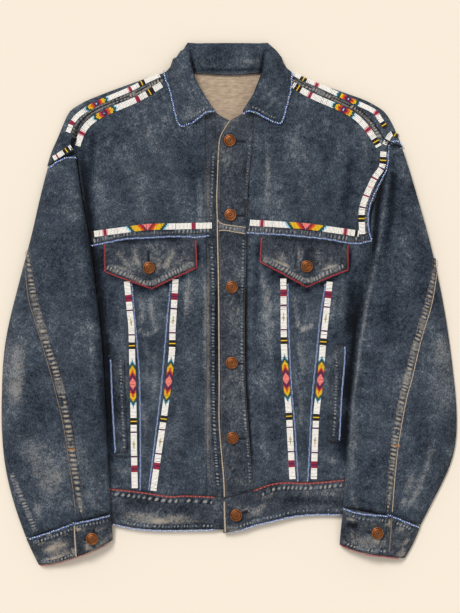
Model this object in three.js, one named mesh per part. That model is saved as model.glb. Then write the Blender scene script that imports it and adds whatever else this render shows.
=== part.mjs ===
// Denim jacket, buttoned and laid flat on its back. Millimetres.
// x runs to the viewer's right, y towards the collar, z up from the surface it lies on.
// Left and right are the viewer's. Every cloth piece is a thin wall with its own thickness.
import * as THREE from 'three';

// Driving dimensions

const DENIM = 1.5;           // one layer of heavy denim
const DOUBLED = 2.2;         // two layers pressed flat: collar, cuffs, waistband, plackets
const SEAM_GAP = 0.3;        // between two pieces that meet edge to edge
const LAY_GAP = 0.3;         // between a piece and what it lies on
const TUBE_GAP = 0.7;        // between a sleeve, cuff or collar and the body under it
const EDGE_RISE = 4;         // height of a sleeve's rounded edge over its underside
const EDGE_ROUND = 7;        // how far in from the edge the underside lies flat
const BEAD_LAYER = 1.5;      // seed beads sewn down in rows
const STRIP_WIDTH = 8.8;     // seven beads across
const FRONT_LIFT = 9.5;      // top of the front cloth along its middle
const SIDE_LIFT = 3.7;       // top of the front cloth at the side seams
const SHOULDER_LIFT = 12;    // top of the roll at the shoulders
const BUTTON_RADIUS = 8.6;
const BUTTON_HEIGHT = 3.6;
const NECK_LEFT = -54.6;     // where the shoulder seam meets the collar seam
const NECK_RIGHT = 52;
const BACK_YOKE_SEAM = 145;
const SHOULDER_EASE = 0.4;   // extra room where the yokes meet on the roll
const BAND_EASE = 0.2;       // extra room where the waistband takes in the panels

const COLOURS = {
  denim: 0x39444f, denimDark: 0x2d3640, denimWorn: 0x4a5560, beads: 0xe8e4da, copper: 0xa8643a,
};

// A smooth curve b(a) through a short table of [a, b] rows, a rising
function curve(rows) {
  const slope = rows.map((row, i) => {
    const before = rows[Math.max(i - 1, 0)];
    const after = rows[Math.min(i + 1, rows.length - 1)];
    return (after[1] - before[1]) / (after[0] - before[0]);
  });
  return (a) => {
    let i = 0;
    while (i < rows.length - 2 && a > rows[i + 1][0]) i++;
    const span = rows[i + 1][0] - rows[i][0];
    const t = THREE.MathUtils.clamp((a - rows[i][0]) / span, 0, 1);
    const t2 = t * t, t3 = t2 * t;
    return (2 * t3 - 3 * t2 + 1) * rows[i][1] + (t3 - 2 * t2 + t) * span * slope[i]
      + (3 * t2 - 2 * t3) * rows[i + 1][1] + (t3 - t2) * span * slope[i + 1];
  };
}
const swap = (rows) => rows.map(([x, y]) => [y, x]).sort((p, q) => p[0] - q[0]);
const lerp = THREE.MathUtils.lerp;
const smoothstep = THREE.MathUtils.smoothstep;

// Seams. Rows are [x, y] on the flat jacket; across(...) gives y at an x, down(...) gives x at a y.
const across = (rows) => curve(rows);
const down = (rows) => curve(swap(rows));

const yokeSeam = across([[-205, 88], [-192, 90], [-146, 97], [-115, 101], [-84, 102], [-17, 103],
  [24, 106], [78, 104], [109, 102], [140, 97], [176, 92], [200, 88]]);
const waistSeam = {
  left: across([[-239, -259], [-167, -260], [-129, -264], [-104, -268], [-63, -270], [22, -272]]),
  right: across([[-8, -274], [34, -262], [62, -254], [80, -251], [114, -251], [162, -247], [239, -245]]),
};
const hem = {
  left: across([[-239, -308], [-162, -310], [-129, -316], [-95, -318], [-20, -317], [22, -318]]),
  right: across([[-8, -322], [1, -321], [35, -312], [64, -304], [92, -298], [157, -296], [239, -294]]),
};
const pocketSeam = {
  leftOuter: down([[-137, 106], [-136, 31], [-132, -12], [-129, -55], [-125, -275]]),
  leftInner: down([[-80, 110], [-83, 36], [-86, -33], [-91, -90], [-113, -280]]),
  rightInner: down([[83, 112], [83, 40], [84, -52], [88, -107], [92, -158], [97, -265]]),
  rightOuter: down([[137, 104], [134, 36], [126, -44], [120, -107], [115, -158], [112, -265]]),
};
const placketSeam = {
  left: down([[-34, 275], [-32, 200], [-31, 100], [-31, -100], [-31, -200], [-31, -280]]),
  right: down([[34, 275], [34, 232], [31, 195], [28, 172], [26, 139], [26, 94], [23, -12], [24, -107],
    [28, -169], [35, -270]]),
};
const placketEdge = {
  left: down([[20, 275], [18, 200], [17, 0], [18, -150], [20, -280]]),
  right: down([[7, 263], [-1, 253], [-13, 233], [-15, 215], [-17, 184], [-18, 146], [-17, 90],
    [-15, -107], [-14, -169], [-8, -260], [-8, -280]]),
};
const shoulderSeam = {
  left: across([[-220, 228], [-219, 234], [-214, 247], [-203, 260], [-181, 274], [-134, 293], [-116, 303],
    [-93, 316], [NECK_LEFT, 326]]),
  right: across([[NECK_RIGHT, 326], [88, 317], [101, 308], [120, 300], [164, 279], [190, 267],
    [199, 257], [211, 241], [220, 225]]),
};
const neckline = {
  left: across([[NECK_LEFT, 326], [-49, 307], [-36, 285], [-22, 267], [-10, 257], [20, 254]]),
  right: across([[0, 260], [10, 262], [25, 267], [36, 281], [46, 304], [NECK_RIGHT, 326]]),
};
const armhole = {
  left: down([[-213, 214], [-210, 184], [-204, 145], [-197, 108], [-194, 85]]),
  right: down([[221, 222], [223, 192], [212, 166], [200, 138], [196, 118], [199, 96], [201, 85]]),
};
const underarm = {
  left: down([[-196, 96], [-200, 75], [-218, 48], [-257, 27], [-253, -90], [-240, -260]]),
  right: down([[201, 94], [204, 75], [222, 48], [257, 27], [253, -90], [240, -260]]),
};

// Folds of the laid-out front: a soft ridge or trough from [x0, y0] to [x1, y1]
const FOLDS = [
  { x0: -122, y0: 10, x1: -118, y1: -235, width: 13, height: 1.6 },
  { x0: -60, y0: 60, x1: -72, y1: -170, width: 12, height: -1.8 },
  { x0: -52, y0: -60, x1: -46, y1: -255, width: 10, height: 1.7 },
  { x0: -96, y0: -120, x1: -100, y1: -258, width: 8, height: 1.4 },
  { x0: 58, y0: 60, x1: 64, y1: -150, width: 12, height: -1.7 },
  { x0: 50, y0: -90, x1: 62, y1: -240, width: 10, height: 1.7 },
  { x0: 105, y0: 10, x1: 103, y1: -220, width: 12, height: 1.7 },
  { x0: 148, y0: -60, x1: 140, y1: -240, width: 9, height: 1.5 },
  { x0: -150, y0: -170, x1: -138, y1: -250, width: 9, height: 1.5 },
  { x0: -190, y0: 150, x1: -110, y1: 215, width: 22, height: 1.2 },
  { x0: 185, y0: 215, x1: 110, y1: 150, width: 22, height: 1.2 },
  { x0: -150, y0: 235, x1: -60, y1: 190, width: 20, height: -1.1 },
];

function fold(f, x, y) {
  const length = Math.hypot(f.x1 - f.x0, f.y1 - f.y0);
  const ux = (f.x1 - f.x0) / length, uy = (f.y1 - f.y0) / length;
  const along = ((x - f.x0) * ux + (y - f.y0) * uy) / length;
  const aside = (x - f.x0) * uy - (y - f.y0) * ux;
  const taper = smoothstep(along, -0.12, 0.25) * (1 - smoothstep(along, 0.75, 1.12));
  return f.height * taper * Math.exp(-((aside / f.width) ** 2));
}

// Height of the top of the front cloth over the surface
function frontTop(x, y) {
  const reach = Math.abs(x) / 245;
  const edge = lerp(1 - smoothstep(reach, 0.64, 0.92), 1, smoothstep(y, 82, 125));
  const crown = lerp(SIDE_LIFT, FRONT_LIFT, edge);
  const shoulder = (SHOULDER_LIFT - FRONT_LIFT) * smoothstep(y, 150, 265);
  const hemDrop = -1.6 * (1 - smoothstep(y, -270, -180)) * edge;
  const folds = FOLDS.reduce((sum, f) => sum + fold(f, x, y), 0) * edge;
  const overlap = (DOUBLED + LAY_GAP) * smoothstep(x, 22, 26);
  const spread = overlap * (1 - smoothstep(x, 60, 130));
  return crown + shoulder + hemDrop + folds + spread;
}

// Sheets of cloth. A sheet is a grid of points on its outer face, with the way out of each one.

function slopeNormal(height, x, y) {
  const step = 3;
  return new THREE.Vector3(
    (height(x - step, y) - height(x + step, y)) / (2 * step),
    (height(x, y - step) - height(x, y + step)) / (2 * step), 1).normalize();
}

// Normals of a grid of points; the first index goes round when ring is true
function gridNormals(points, ring) {
  const n = points.length;
  return points.map((line, i) => line.map((p, j) => {
    const a = ring ? points[(i + n - 1) % n][j] : points[Math.max(i - 1, 0)][j];
    const b = ring ? points[(i + 1) % n][j] : points[Math.min(i + 1, n - 1)][j];
    const c = line[Math.max(j - 1, 0)];
    const d = line[Math.min(j + 1, line.length - 1)];
    return b.clone().sub(a).cross(d.clone().sub(c)).normalize();
  }));
}

// Moves the outer rows and columns of a grid back by half a seam gap
function trimmed(points) {
  const cut = points.map((line) => line.map((p) => p.clone()));
  const last = points.length - 1, end = points[0].length - 1;
  const pull = (i, j, towards, along) => {
    const way = towards.clone().sub(points[i][j]);
    const run = along[1].clone().sub(along[0]).normalize();
    way.addScaledVector(run, -way.dot(run)).normalize();
    cut[i][j].addScaledVector(way, SEAM_GAP / 2);
  };
  for (let j = 0; j <= end; j++) {
    const near = Math.max(j - 1, 0), far = Math.min(j + 1, end);
    pull(0, j, points[1][j], [points[0][near], points[0][far]]);
    pull(last, j, points[last - 1][j], [points[last][near], points[last][far]]);
  }
  for (let i = 0; i <= last; i++) {
    const near = Math.max(i - 1, 0), far = Math.min(i + 1, last);
    pull(i, 0, points[i][1], [points[near][0], points[far][0]]);
    pull(i, end, points[i][end - 1], [points[near][end], points[far][end]]);
  }
  return cut;
}

// A closed wall between two grids, outer and inner, of the same size
function wall(outer, inner) {
  const columns = outer.length, rows = outer[0].length;
  const position = [...outer.flat(), ...inner.flat()].flatMap((p) => [p.x, p.y, p.z]);
  const index = [];
  const at = (i, j, layer) => layer * columns * rows + i * rows + j;
  const quad = (a, b, c, d) => index.push(a, b, c, a, c, d);
  for (let i = 0; i < columns - 1; i++) {
    for (let j = 0; j < rows - 1; j++) {
      quad(at(i, j, 0), at(i + 1, j, 0), at(i + 1, j + 1, 0), at(i, j + 1, 0));
      quad(at(i, j, 1), at(i, j + 1, 1), at(i + 1, j + 1, 1), at(i + 1, j, 1));
    }
  }
  for (let i = 0; i < columns - 1; i++) {
    const e = rows - 1;
    quad(at(i, 0, 0), at(i, 0, 1), at(i + 1, 0, 1), at(i + 1, 0, 0));
    quad(at(i + 1, e, 0), at(i + 1, e, 1), at(i, e, 1), at(i, e, 0));
  }
  for (let j = 0; j < rows - 1; j++) {
    const e = columns - 1;
    quad(at(0, j + 1, 0), at(0, j + 1, 1), at(0, j, 1), at(0, j, 0));
    quad(at(e, j, 0), at(e, j, 1), at(e, j + 1, 1), at(e, j + 1, 0));
  }
  const geometry = new THREE.BufferGeometry();
  geometry.setAttribute('position', new THREE.Float32BufferAttribute(position, 3));
  geometry.setIndex(index);
  geometry.computeVertexNormals();
  return geometry;
}

const offset = (points, normals, distance) => points.map((line, i) =>
  line.map((p, j) => p.clone().addScaledVector(normals[i][j], -distance)));

// The flat layout of a piece between four seams, from its left edge to its right edge
const SEAM_PASSES = 14;      // enough to settle each point between its four curved seams
function layout({ left, right, bottom, top }, columns, rows) {
  const grid = [];
  for (let i = 0; i <= columns; i++) {
    const line = [];
    for (let j = 0; j <= rows; j++) {
      let x = 0, y = lerp(bottom(0), top(0), j / rows);
      for (let pass = 0; pass < SEAM_PASSES; pass++) {
        x = lerp(left(y), right(y), i / columns);
        y = lerp(bottom(x), top(x), j / rows);
      }
      line.push(new THREE.Vector3(x, y, 0));
    }
    grid.push(line);
  }
  return grid;
}

const group = new THREE.Group();
const solids = {};

function addMesh(name, geometry, colour, roughness = 0.9, metalness = 0) {
  const material = new THREE.MeshStandardMaterial({ color: colour, roughness, metalness });
  const mesh = new THREE.Mesh(geometry, material);
  mesh.name = name;
  group.add(mesh);
  solids[name] = mesh;
  return mesh;
}

// A front panel: its layout raised to the height of the front cloth
function frontPanel(name, seams, columns, rows, colour = COLOURS.denim, thickness = DENIM) {
  const grid = trimmed(layout(seams, columns, rows));
  const normals = grid.map((line) => line.map((p) => slopeNormal(frontTop, p.x, p.y)));
  grid.forEach((line) => line.forEach((p) => { p.z = frontTop(p.x, p.y); }));
  return addMesh(name, wall(grid, offset(grid, normals, thickness)), colour);
}

// A back panel lies on the surface, its outer face down
function backPanel(name, seams, columns, rows, thickness = DENIM) {
  const grid = trimmed(layout(seams, columns, rows)).reverse();
  const up = offset(grid, grid.map((line) => line.map(() => new THREE.Vector3(0, 0, -1))), thickness);
  return addMesh(name, wall(grid, up), COLOURS.denim);
}

// The height of what has been built, and pieces laid on it

function trianglesOf(names) {
  const list = [];
  const p = [new THREE.Vector3(), new THREE.Vector3(), new THREE.Vector3()];
  for (const name of names) {
    const { position } = solids[name].geometry.attributes;
    const index = solids[name].geometry.index;
    for (let t = 0; t < index.count; t += 3) {
      p.forEach((v, k) => v.fromBufferAttribute(position, index.getX(t + k)));
      const area = (p[1].x - p[0].x) * (p[2].y - p[0].y) - (p[2].x - p[0].x) * (p[1].y - p[0].y);
      if (area > 1e-6) list.push([...p.flatMap((v) => [v.x, v.y, v.z]), area]);
    }
  }
  return list;
}

// Returns top(x, y): the highest point of the named pieces there, or the surface
function topOf(names) {
  const cell = 20;
  const cells = new Map();
  for (const t of trianglesOf(names)) {
    const low = [Math.min(t[0], t[3], t[6]), Math.min(t[1], t[4], t[7])].map((v) => Math.floor(v / cell));
    const high = [Math.max(t[0], t[3], t[6]), Math.max(t[1], t[4], t[7])].map((v) => Math.floor(v / cell));
    for (let i = low[0]; i <= high[0]; i++) {
      for (let j = low[1]; j <= high[1]; j++) {
        const key = `${i},${j}`;
        if (!cells.has(key)) cells.set(key, []);
        cells.get(key).push(t);
      }
    }
  }
  return (x, y) => {
    let top = -Infinity;
    for (const t of cells.get(`${Math.floor(x / cell)},${Math.floor(y / cell)}`) ?? []) {
      const b = ((x - t[0]) * (t[7] - t[1]) - (t[6] - t[0]) * (y - t[1])) / t[9];
      const c = ((t[3] - t[0]) * (y - t[1]) - (x - t[0]) * (t[4] - t[1])) / t[9];
      if (b < 0 || c < 0 || b + c > 1) continue;
      top = Math.max(top, t[2] + b * (t[5] - t[2]) + c * (t[8] - t[2]));
    }
    return top;
  };
}

// Raises a grid until it lies LAY_GAP above top everywhere, between its points as well
function settle(grid, top, gap = LAY_GAP) {
  const need = (x, y) => Math.max(top(x, y) + gap, 0);
  grid.forEach((line) => line.forEach((p) => { p.z = Math.max(p.z, need(p.x, p.y)); }));
  const steps = 9;
  for (let pass = 0; pass < 6; pass++) {
    for (let i = 0; i < grid.length - 1; i++) {
      for (let j = 0; j < grid[0].length - 1; j++) {
        const [a, b, c, d] = [grid[i][j], grid[i + 1][j], grid[i + 1][j + 1], grid[i][j + 1]];
        for (const corners of [[a, b, c], [a, c, d]]) {
          for (let u = 0; u <= steps; u++) {
            for (let v = 0; v <= steps - u; v++) {
              const share = [u, v, steps - u - v].map((part) => part / steps);
              const at = (key) => corners.reduce((sum, p, k) => sum + p[key] * share[k], 0);
              const lack = need(at('x'), at('y')) - at('z');
              if (lack <= 0) continue;
              const spread = share.reduce((sum, part) => sum + part * part, 0);
              corners.forEach((p, k) => { p.z += (lack * share[k]) / spread; });
            }
          }
        }
      }
    }
  }
  return grid;
}

// Settles the underside of a tube and keeps its two edges rounded above it
function settleUnderside(bottom, on) {
  settle(bottom, topOf(on), TUBE_GAP);
  const last = bottom.length - 1;
  bottom[0].forEach((p, j) => { p.z = Math.max(p.z, bottom[1][j].z + EDGE_RISE); });
  bottom[last].forEach((p, j) => { p.z = Math.max(p.z, bottom[last - 1][j].z + EDGE_RISE); });
}

// A piece laid on others: grid gives its flat layout, rise(i, j) lifts it further
function laidPiece(name, grid, on, thickness, colour, rise = () => 0) {
  const bottom = settle(grid, topOf(on));
  bottom.forEach((line, i) => line.forEach((p, j) => { p.z += rise(i, j); }));
  const top = bottom.map((line) => line.map((p) => new THREE.Vector3(p.x, p.y, p.z + thickness)));
  return addMesh(name, wall(top, bottom), colour);
}

// A strip of the given width centred on a path of [x, y] points
function stripGrid(path, width, steps, across = 1) {
  const line = new THREE.SplineCurve(path.map(([x, y]) => new THREE.Vector2(x, y)));
  const sides = [...Array(across + 1).keys()].map((k) => lerp(width / 2, -width / 2, k / across));
  return sides.map((side) => [...Array(steps + 1).keys()].map((k) => {
    const point = line.getPointAt(k / steps);
    const way = line.getTangentAt(k / steps);
    return new THREE.Vector3(point.x - way.y * side, point.y + way.x * side, 0);
  }));
}

// Back: yoke with the shoulders rolled over to the front, centre and side panels

const ROLL = 4;              // steps round the shoulder roll
const SHOULDER_END = 219;    // the shoulder seam ends here on either side
const ROLL_START = 0.94;     // share of the way from foot to fold where the cloth leaves the surface

// Across the yoke: foot on its lower seam, fold at the shoulder and edge on the front
const BACK_YOKE = [
  { foot: [-218, 200], fold: [-253, 195], edge: [-219, 213] },
  { foot: [-211, 176], fold: [-248, 215], edge: [-222, 226] },
  { foot: [-204, 147], fold: [-239, 236], edge: [-220, 232] },
  { foot: [-172, 145], fold: [-231, 257], edge: [-214, 247] },
  { foot: [-155, 145], fold: [-222, 272], edge: [-202, 261] },
  { foot: [-138, 145], fold: [-200, 285], edge: [-181, 274] },
  { foot: [-122, 145], fold: [-164, 299], edge: [-151, 286] },
  { foot: [-104, 145], fold: [-125, 313], edge: [-120, 301] },
  { foot: [-85, 145], fold: [-93, 324], edge: [-92, 316] },
  { foot: [-55, 145], fold: [-57, 328], edge: [NECK_LEFT, 326] },
  { foot: [-48, 145], fold: [-49, 326], edge: null },
  { foot: [0, 145], fold: [0, 323], edge: null },
  { foot: [45, 145], fold: [46, 326], edge: null },
  { foot: [53, 145], fold: [54, 328], edge: [NECK_RIGHT, 326] },
  { foot: [85, 145], fold: [87, 326], edge: [88, 317] },
  { foot: [104, 145], fold: [118, 311], edge: [112, 303] },
  { foot: [122, 145], fold: [153, 299], edge: [145, 288] },
  { foot: [140, 145], fold: [193, 285], edge: [178, 273] },
  { foot: [157, 145], fold: [217, 271], edge: [197, 260] },
  { foot: [174, 145], fold: [229, 254], edge: [208, 245] },
  { foot: [203, 158], fold: [238, 232], edge: [217, 230] },
  { foot: [212, 196], fold: [243, 221], edge: [224, 227] },
];

function between(a, b) {
  const middle = (p, q) => [(p[0] + q[0]) / 2, (p[1] + q[1]) / 2];
  const edge = a.edge && b.edge ? middle(a.edge, b.edge) : null;
  return { foot: middle(a.foot, b.foot), fold: middle(a.fold, b.fold), edge };
}

function backYoke() {
  const rows = 4;
  const sections = BACK_YOKE.flatMap((row, i) => (i ? [between(BACK_YOKE[i - 1], row), row] : [row]));
  const grid = sections.map(({ foot, fold: crest, edge }) => {
    const from = new THREE.Vector2(...foot), to = new THREE.Vector2(...crest);
    const flat = [...Array(rows).keys()].map((k) => from.clone().lerp(to, (ROLL_START * k) / (rows - 1)));
    const line = flat.map((p) => new THREE.Vector3(p.x, p.y, 0));
    for (let k = 1; k <= ROLL; k++) {
      const turn = (Math.PI * k) / ROLL;
      if (!edge) {
        const p = from.clone().lerp(to, lerp(ROLL_START, 1, k / ROLL));
        line.push(new THREE.Vector3(p.x, p.y, 0));
        continue;
      }
      const shoulder = edge[0] < 0 ? shoulderSeam.left : shoulderSeam.right;
      const seam = new THREE.Vector2(edge[0], Math.abs(edge[0]) < SHOULDER_END ? shoulder(edge[0]) : edge[1]);
      const start = from.clone().lerp(to, ROLL_START);
      seam.addScaledVector(to.clone().sub(seam).normalize(), SHOULDER_EASE);
      const height = frontTop(seam.x, seam.y);
      const bulge = Math.sin(turn);
      const base = start.clone().lerp(seam, k / ROLL);
      const middle = start.clone().lerp(seam, 0.5);
      base.addScaledVector(to.clone().sub(middle), bulge);
      line.push(new THREE.Vector3(base.x, base.y, (height * (1 - Math.cos(turn))) / 2));
    }
    return line;
  }).reverse();
  const cut = trimmed(grid);
  const normals = gridNormals(cut, false);
  normals.forEach((line, i) => line.forEach((n, j) => {
    if (cut[i][j].z < 0.01) n.set(0, 0, -1);
    if (j === line.length - 1 && cut[i][j].z > 1) n.copy(slopeNormal(frontTop, cut[i][j].x, cut[i][j].y));
  }));
  return addMesh('back_yoke', wall(cut, offset(cut, normals, DENIM)), COLOURS.denim);
}
backYoke();

const HALF_SPAN = 400;       // beyond the jacket on either side
const straight = (a, b) => curve([[-HALF_SPAN, a], [HALF_SPAN, b]]);
const level = (value) => straight(value, value);
const backSeam = {
  left: down([[-112, 150], [-96, -40], [-84, -280]]),
  right: down([[112, 150], [96, -40], [84, -280]]),
  leftEdge: down([[-208, 150], [-201, 90], [-212, 52], [-257, 27], [-253, -90], [-240, -275]]),
  rightEdge: down([[203, 150], [204, 90], [214, 52], [257, 27], [253, -90], [240, -275]]),
};
const backWaist = level(-258);
const backHem = straight(-307, -281);
const backTop = level(BACK_YOKE_SEAM);
backPanel('back_side_panel_left',
  { left: backSeam.leftEdge, right: backSeam.left, bottom: backWaist, top: backTop }, 4, 14);
backPanel('back_centre_panel',
  { left: backSeam.left, right: backSeam.right, bottom: backWaist, top: backTop }, 4, 6);
backPanel('back_side_panel_right',
  { left: backSeam.right, right: backSeam.rightEdge, bottom: backWaist, top: backTop }, 4, 14);
backPanel('waistband_back',
  { left: level(-239), right: level(239), bottom: backHem, top: backWaist }, 8, 1, DENIM);

// Front: yokes, centre, pocket and side panels

const top = {
  left: (x) => (x < NECK_LEFT ? shoulderSeam.left(x) : neckline.left(x)),
  right: (x) => (x > NECK_RIGHT ? shoulderSeam.right(x) : neckline.right(x)),
};
frontPanel('front_yoke_left',
  { left: armhole.left, right: placketSeam.left, bottom: yokeSeam, top: top.left }, 11, 9);
frontPanel('front_yoke_right',
  { left: placketSeam.right, right: armhole.right, bottom: yokeSeam, top: top.right }, 11, 9);
const PANEL_ROWS = 16;
frontPanel('front_centre_panel_left', {
  left: pocketSeam.leftInner, right: placketSeam.left, bottom: waistSeam.left, top: yokeSeam,
}, 4, PANEL_ROWS);
frontPanel('front_pocket_panel_left', {
  left: pocketSeam.leftOuter, right: pocketSeam.leftInner, bottom: waistSeam.left, top: yokeSeam,
}, 4, PANEL_ROWS);
frontPanel('front_side_panel_left', {
  left: underarm.left, right: pocketSeam.leftOuter, bottom: waistSeam.left, top: yokeSeam,
}, 6, PANEL_ROWS);
frontPanel('front_centre_panel_right', {
  left: placketSeam.right, right: pocketSeam.rightInner, bottom: waistSeam.right, top: yokeSeam,
}, 4, PANEL_ROWS);
frontPanel('front_pocket_panel_right', {
  left: pocketSeam.rightInner, right: pocketSeam.rightOuter, bottom: waistSeam.right, top: yokeSeam,
}, 4, PANEL_ROWS);
frontPanel('front_side_panel_right', {
  left: pocketSeam.rightOuter, right: underarm.right, bottom: waistSeam.right, top: yokeSeam,
}, 6, PANEL_ROWS);

// Waistband and plackets, the right one buttoned over the left

const waistTop = {
  left: (x) => waistSeam.left(x) - BAND_EASE,
  right: (x) => waistSeam.right(x) - BAND_EASE,
};
frontPanel('waistband_left', {
  left: level(-239), right: level(18), bottom: hem.left, top: waistTop.left,
}, 12, 2, COLOURS.denimWorn, DOUBLED);
frontPanel('placket_left', {
  left: placketSeam.left, right: placketEdge.left, bottom: waistSeam.left, top: neckline.left,
}, 2, 22, COLOURS.denim, DOUBLED);

const rightPlacket = trimmed(layout({
  left: placketEdge.right, right: placketSeam.right, bottom: waistSeam.right, top: neckline.right,
}, 2, 22));
const UNDER_EDGE = 27;       // the left front ends here under the right one
rightPlacket.forEach((points) => points.forEach((p) => {
  p.z = frontTop(Math.max(p.x, UNDER_EDGE), p.y) - DOUBLED;
}));
laidPiece('placket_right', rightPlacket, ['placket_left', 'front_yoke_left', 'waistband_left'],
  DOUBLED, COLOURS.denimWorn);
const rightBand = trimmed(layout({
  left: level(-8), right: level(239), bottom: hem.right, top: waistTop.right,
}, 12, 2));
rightBand.forEach((points) => points.forEach((p) => { p.z = frontTop(p.x, p.y) - DOUBLED; }));
laidPiece('waistband_right', rightBand, ['waistband_left', 'waistband_back', 'placket_left'],
  DOUBLED, COLOURS.denimWorn);

// Sleeves. A row is a section across the sleeve: its outer and inner edge, the height of its
// roundness, and where along it, from the outer edge, the long seam lies on top.

const SLEEVE = {
  left: [
    { outer: [-254.5, 191], inner: [-215, 209], height: 13, seam: 0.12 },
    { outer: [-261, 167], inner: [-211, 184], height: 14, seam: 0.1 },
    { outer: [-269, 134], inner: [-205, 145], height: 19, seam: 0.07 },
    { outer: [-277, 96], inner: [-199, 108], height: 22, seam: 0.05 },
    { outer: [-287, 60], inner: [-191, 62], height: 24, seam: 0.07 },
    { outer: [-296, 25], inner: [-187, 22], height: 25, seam: 0.2 },
    { outer: [-306, -13], inner: [-182, -17], height: 26, seam: 0.33 },
    { outer: [-314, -50], inner: [-178, -55], height: 26, seam: 0.44 },
    { outer: [-318, -87], inner: [-176, -91], height: 26, seam: 0.51 },
    { outer: [-319, -124], inner: [-174, -128], height: 26, seam: 0.58 },
    { outer: [-320, -163], inner: [-172, -163], height: 25, seam: 0.63 },
    { outer: [-318, -200], inner: [-170, -198], height: 24, seam: 0.665 },
    { outer: [-314, -234], inner: [-168, -228], height: 22, seam: 0.68 },
    { outer: [-306, -268], inner: [-167, -256], height: 20, seam: 0.69 },
    { outer: [-296, -300], inner: [-166, -278], height: 19, seam: 0.69 },
    { outer: [-285, -329], inner: [-165, -293], height: 15.5, seam: 0.67 },
  ],
  right: [
    { outer: [243, 218], inner: [224, 212], height: 13, seam: 0.14 },
    { outer: [253, 190], inner: [225, 190], height: 14, seam: 0.12 },
    { outer: [265, 148], inner: [212, 164], height: 19, seam: 0.06 },
    { outer: [276, 110], inner: [201, 137], height: 22, seam: 0.05 },
    { outer: [284, 80], inner: [198, 112], height: 24, seam: 0.05 },
    { outer: [291, 50], inner: [200, 82], height: 24, seam: 0.05 },
    { outer: [299, 12], inner: [195, 30], height: 25, seam: 0.18 },
    { outer: [306, -28], inner: [187, -14], height: 27.5, seam: 0.32 },
    { outer: [311, -64], inner: [181, -54], height: 27.5, seam: 0.41 },
    { outer: [315, -98], inner: [175, -92], height: 27.5, seam: 0.47 },
    { outer: [319, -134], inner: [171, -130], height: 27.5, seam: 0.53 },
    { outer: [320.5, -170], inner: [169, -168], height: 27.5, seam: 0.575 },
    { outer: [318, -204], inner: [167, -203], height: 27, seam: 0.58 },
    { outer: [308, -236], inner: [164, -234], height: 23, seam: 0.56 },
    { outer: [289, -272], inner: [161, -260], height: 19, seam: 0.53 },
    { outer: [269, -311], inner: [160, -285], height: 16, seam: 0.46, bow: 3 },
  ],
};
const SLEEVE_SIDE = 3;       // steps from the long seam to the outer edge
const SLEEVE_TOP = 8;        // steps from the long seam to the inner edge
const SLEEVE_UNDER = 6;      // steps back underneath
const CROWN = 0.4;           // how soon a sleeve or cuff reaches its height, less is sooner

// One closed ring of points round a section: up and over from the outer edge, back underneath.
// A bow moves the middle of the section up or down the sleeve.
function sleeveRing({ outer, inner, height, seam, bow = 0 }, side, top, under) {
  const a = new THREE.Vector2(...outer), b = new THREE.Vector2(...inner);
  const width = a.distanceTo(b);
  const over = (s) => EDGE_RISE + (height - EDGE_RISE) * Math.sin(Math.PI * s) ** CROWN;
  const ring = [];
  const place = (s, z, below) => {
    const p = a.clone().lerp(b, s);
    ring.push({ x: p.x, y: p.y + bow * Math.sin(Math.PI * s), z, below, s });
  };
  const share = (k, n) => (1 - Math.cos((Math.PI * k) / n)) / 2;
  for (let k = 0; k < side; k++) place(seam * 2 * share(k, 2 * side), 0, false);
  for (let k = 0; k <= top; k++) place(lerp(seam, 1, share(k, top)), 0, false);
  for (const p of ring) p.z = over(p.s);
  const margin = EDGE_ROUND / width;
  for (let k = 0; k < under; k++) place(lerp(1 - margin, margin, k / (under - 1)), 0, true);
  return ring;
}

// Lays the undersides of a tube's rings on what is below and lifts the rest with them
function tubeGrid(rings, on) {
  const first = rings[0].findIndex((p) => p.below);
  const last = rings[0].length - 1;
  const places = [first - 1];
  for (let i = first; i <= last; i++) places.push(i);
  places.push(0);
  const bottom = places.map((i) => rings.map((r) => new THREE.Vector3(r[i].x, r[i].y, r[i].z)));
  settleUnderside(bottom, on);
  return rings[0].map((_, i) => rings.map((r, j) => {
    if (places.includes(i)) return bottom[places.indexOf(i)][j];
    const nearest = bottom.reduce((best, l) => {
      const away = Math.hypot(l[j].x - r[i].x, l[j].y - r[i].y);
      return away < best.away ? { away, z: l[j].z } : best;
    }, { away: Infinity, z: 0 });
    return new THREE.Vector3(r[i].x, r[i].y, Math.max(r[i].z, nearest.z + EDGE_RISE));
  }));
}

// The part of a closed tube from ring place a to ring place b as a wall of its own
function tubePiece(name, grid, normals, a, b, thickness, colour) {
  const n = grid.length;
  const pick = (list) => [...Array(b - a + 1).keys()].map((k) => list[(a + k) % n]);
  const outer = trimmed(pick(grid));
  return addMesh(name, wall(outer, offset(outer, pick(normals), thickness)), colour);
}

function facingOut(grid) {
  const normals = gridNormals(grid, true);
  const topmost = normals[Math.floor(grid.length / 4)][2];
  return topmost.z > 0;
}

function sleeve(side, on) {
  const rows = side === 'left' ? [...SLEEVE.left].reverse() : SLEEVE.right;
  const rings = rows.map((row) => sleeveRing(row, SLEEVE_SIDE, SLEEVE_TOP, SLEEVE_UNDER));
  const grid = tubeGrid(rings, on);
  if (!facingOut(grid)) grid.forEach((points) => points.reverse());
  const normals = gridNormals(grid, true);
  const seamAt = SLEEVE_SIDE;
  const underarmAt = SLEEVE_SIDE + SLEEVE_TOP + 2;
  tubePiece(`sleeve_front_${side}`, grid, normals, seamAt, underarmAt, DENIM, COLOURS.denim);
  const end = grid.length + seamAt;
  tubePiece(`sleeve_back_${side}`, grid, normals, underarmAt, end, DENIM, COLOURS.denimDark);
}
const UNDER_SLEEVE = {
  left: ['back_side_panel_left', 'front_side_panel_left', 'waistband_left'],
  right: ['back_side_panel_right', 'front_side_panel_right', 'waistband_right'],
};
sleeve('left', ['back_yoke', 'waistband_back', ...UNDER_SLEEVE.left]);
sleeve('right', ['back_yoke', 'waistband_back', ...UNDER_SLEEVE.right]);

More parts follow.
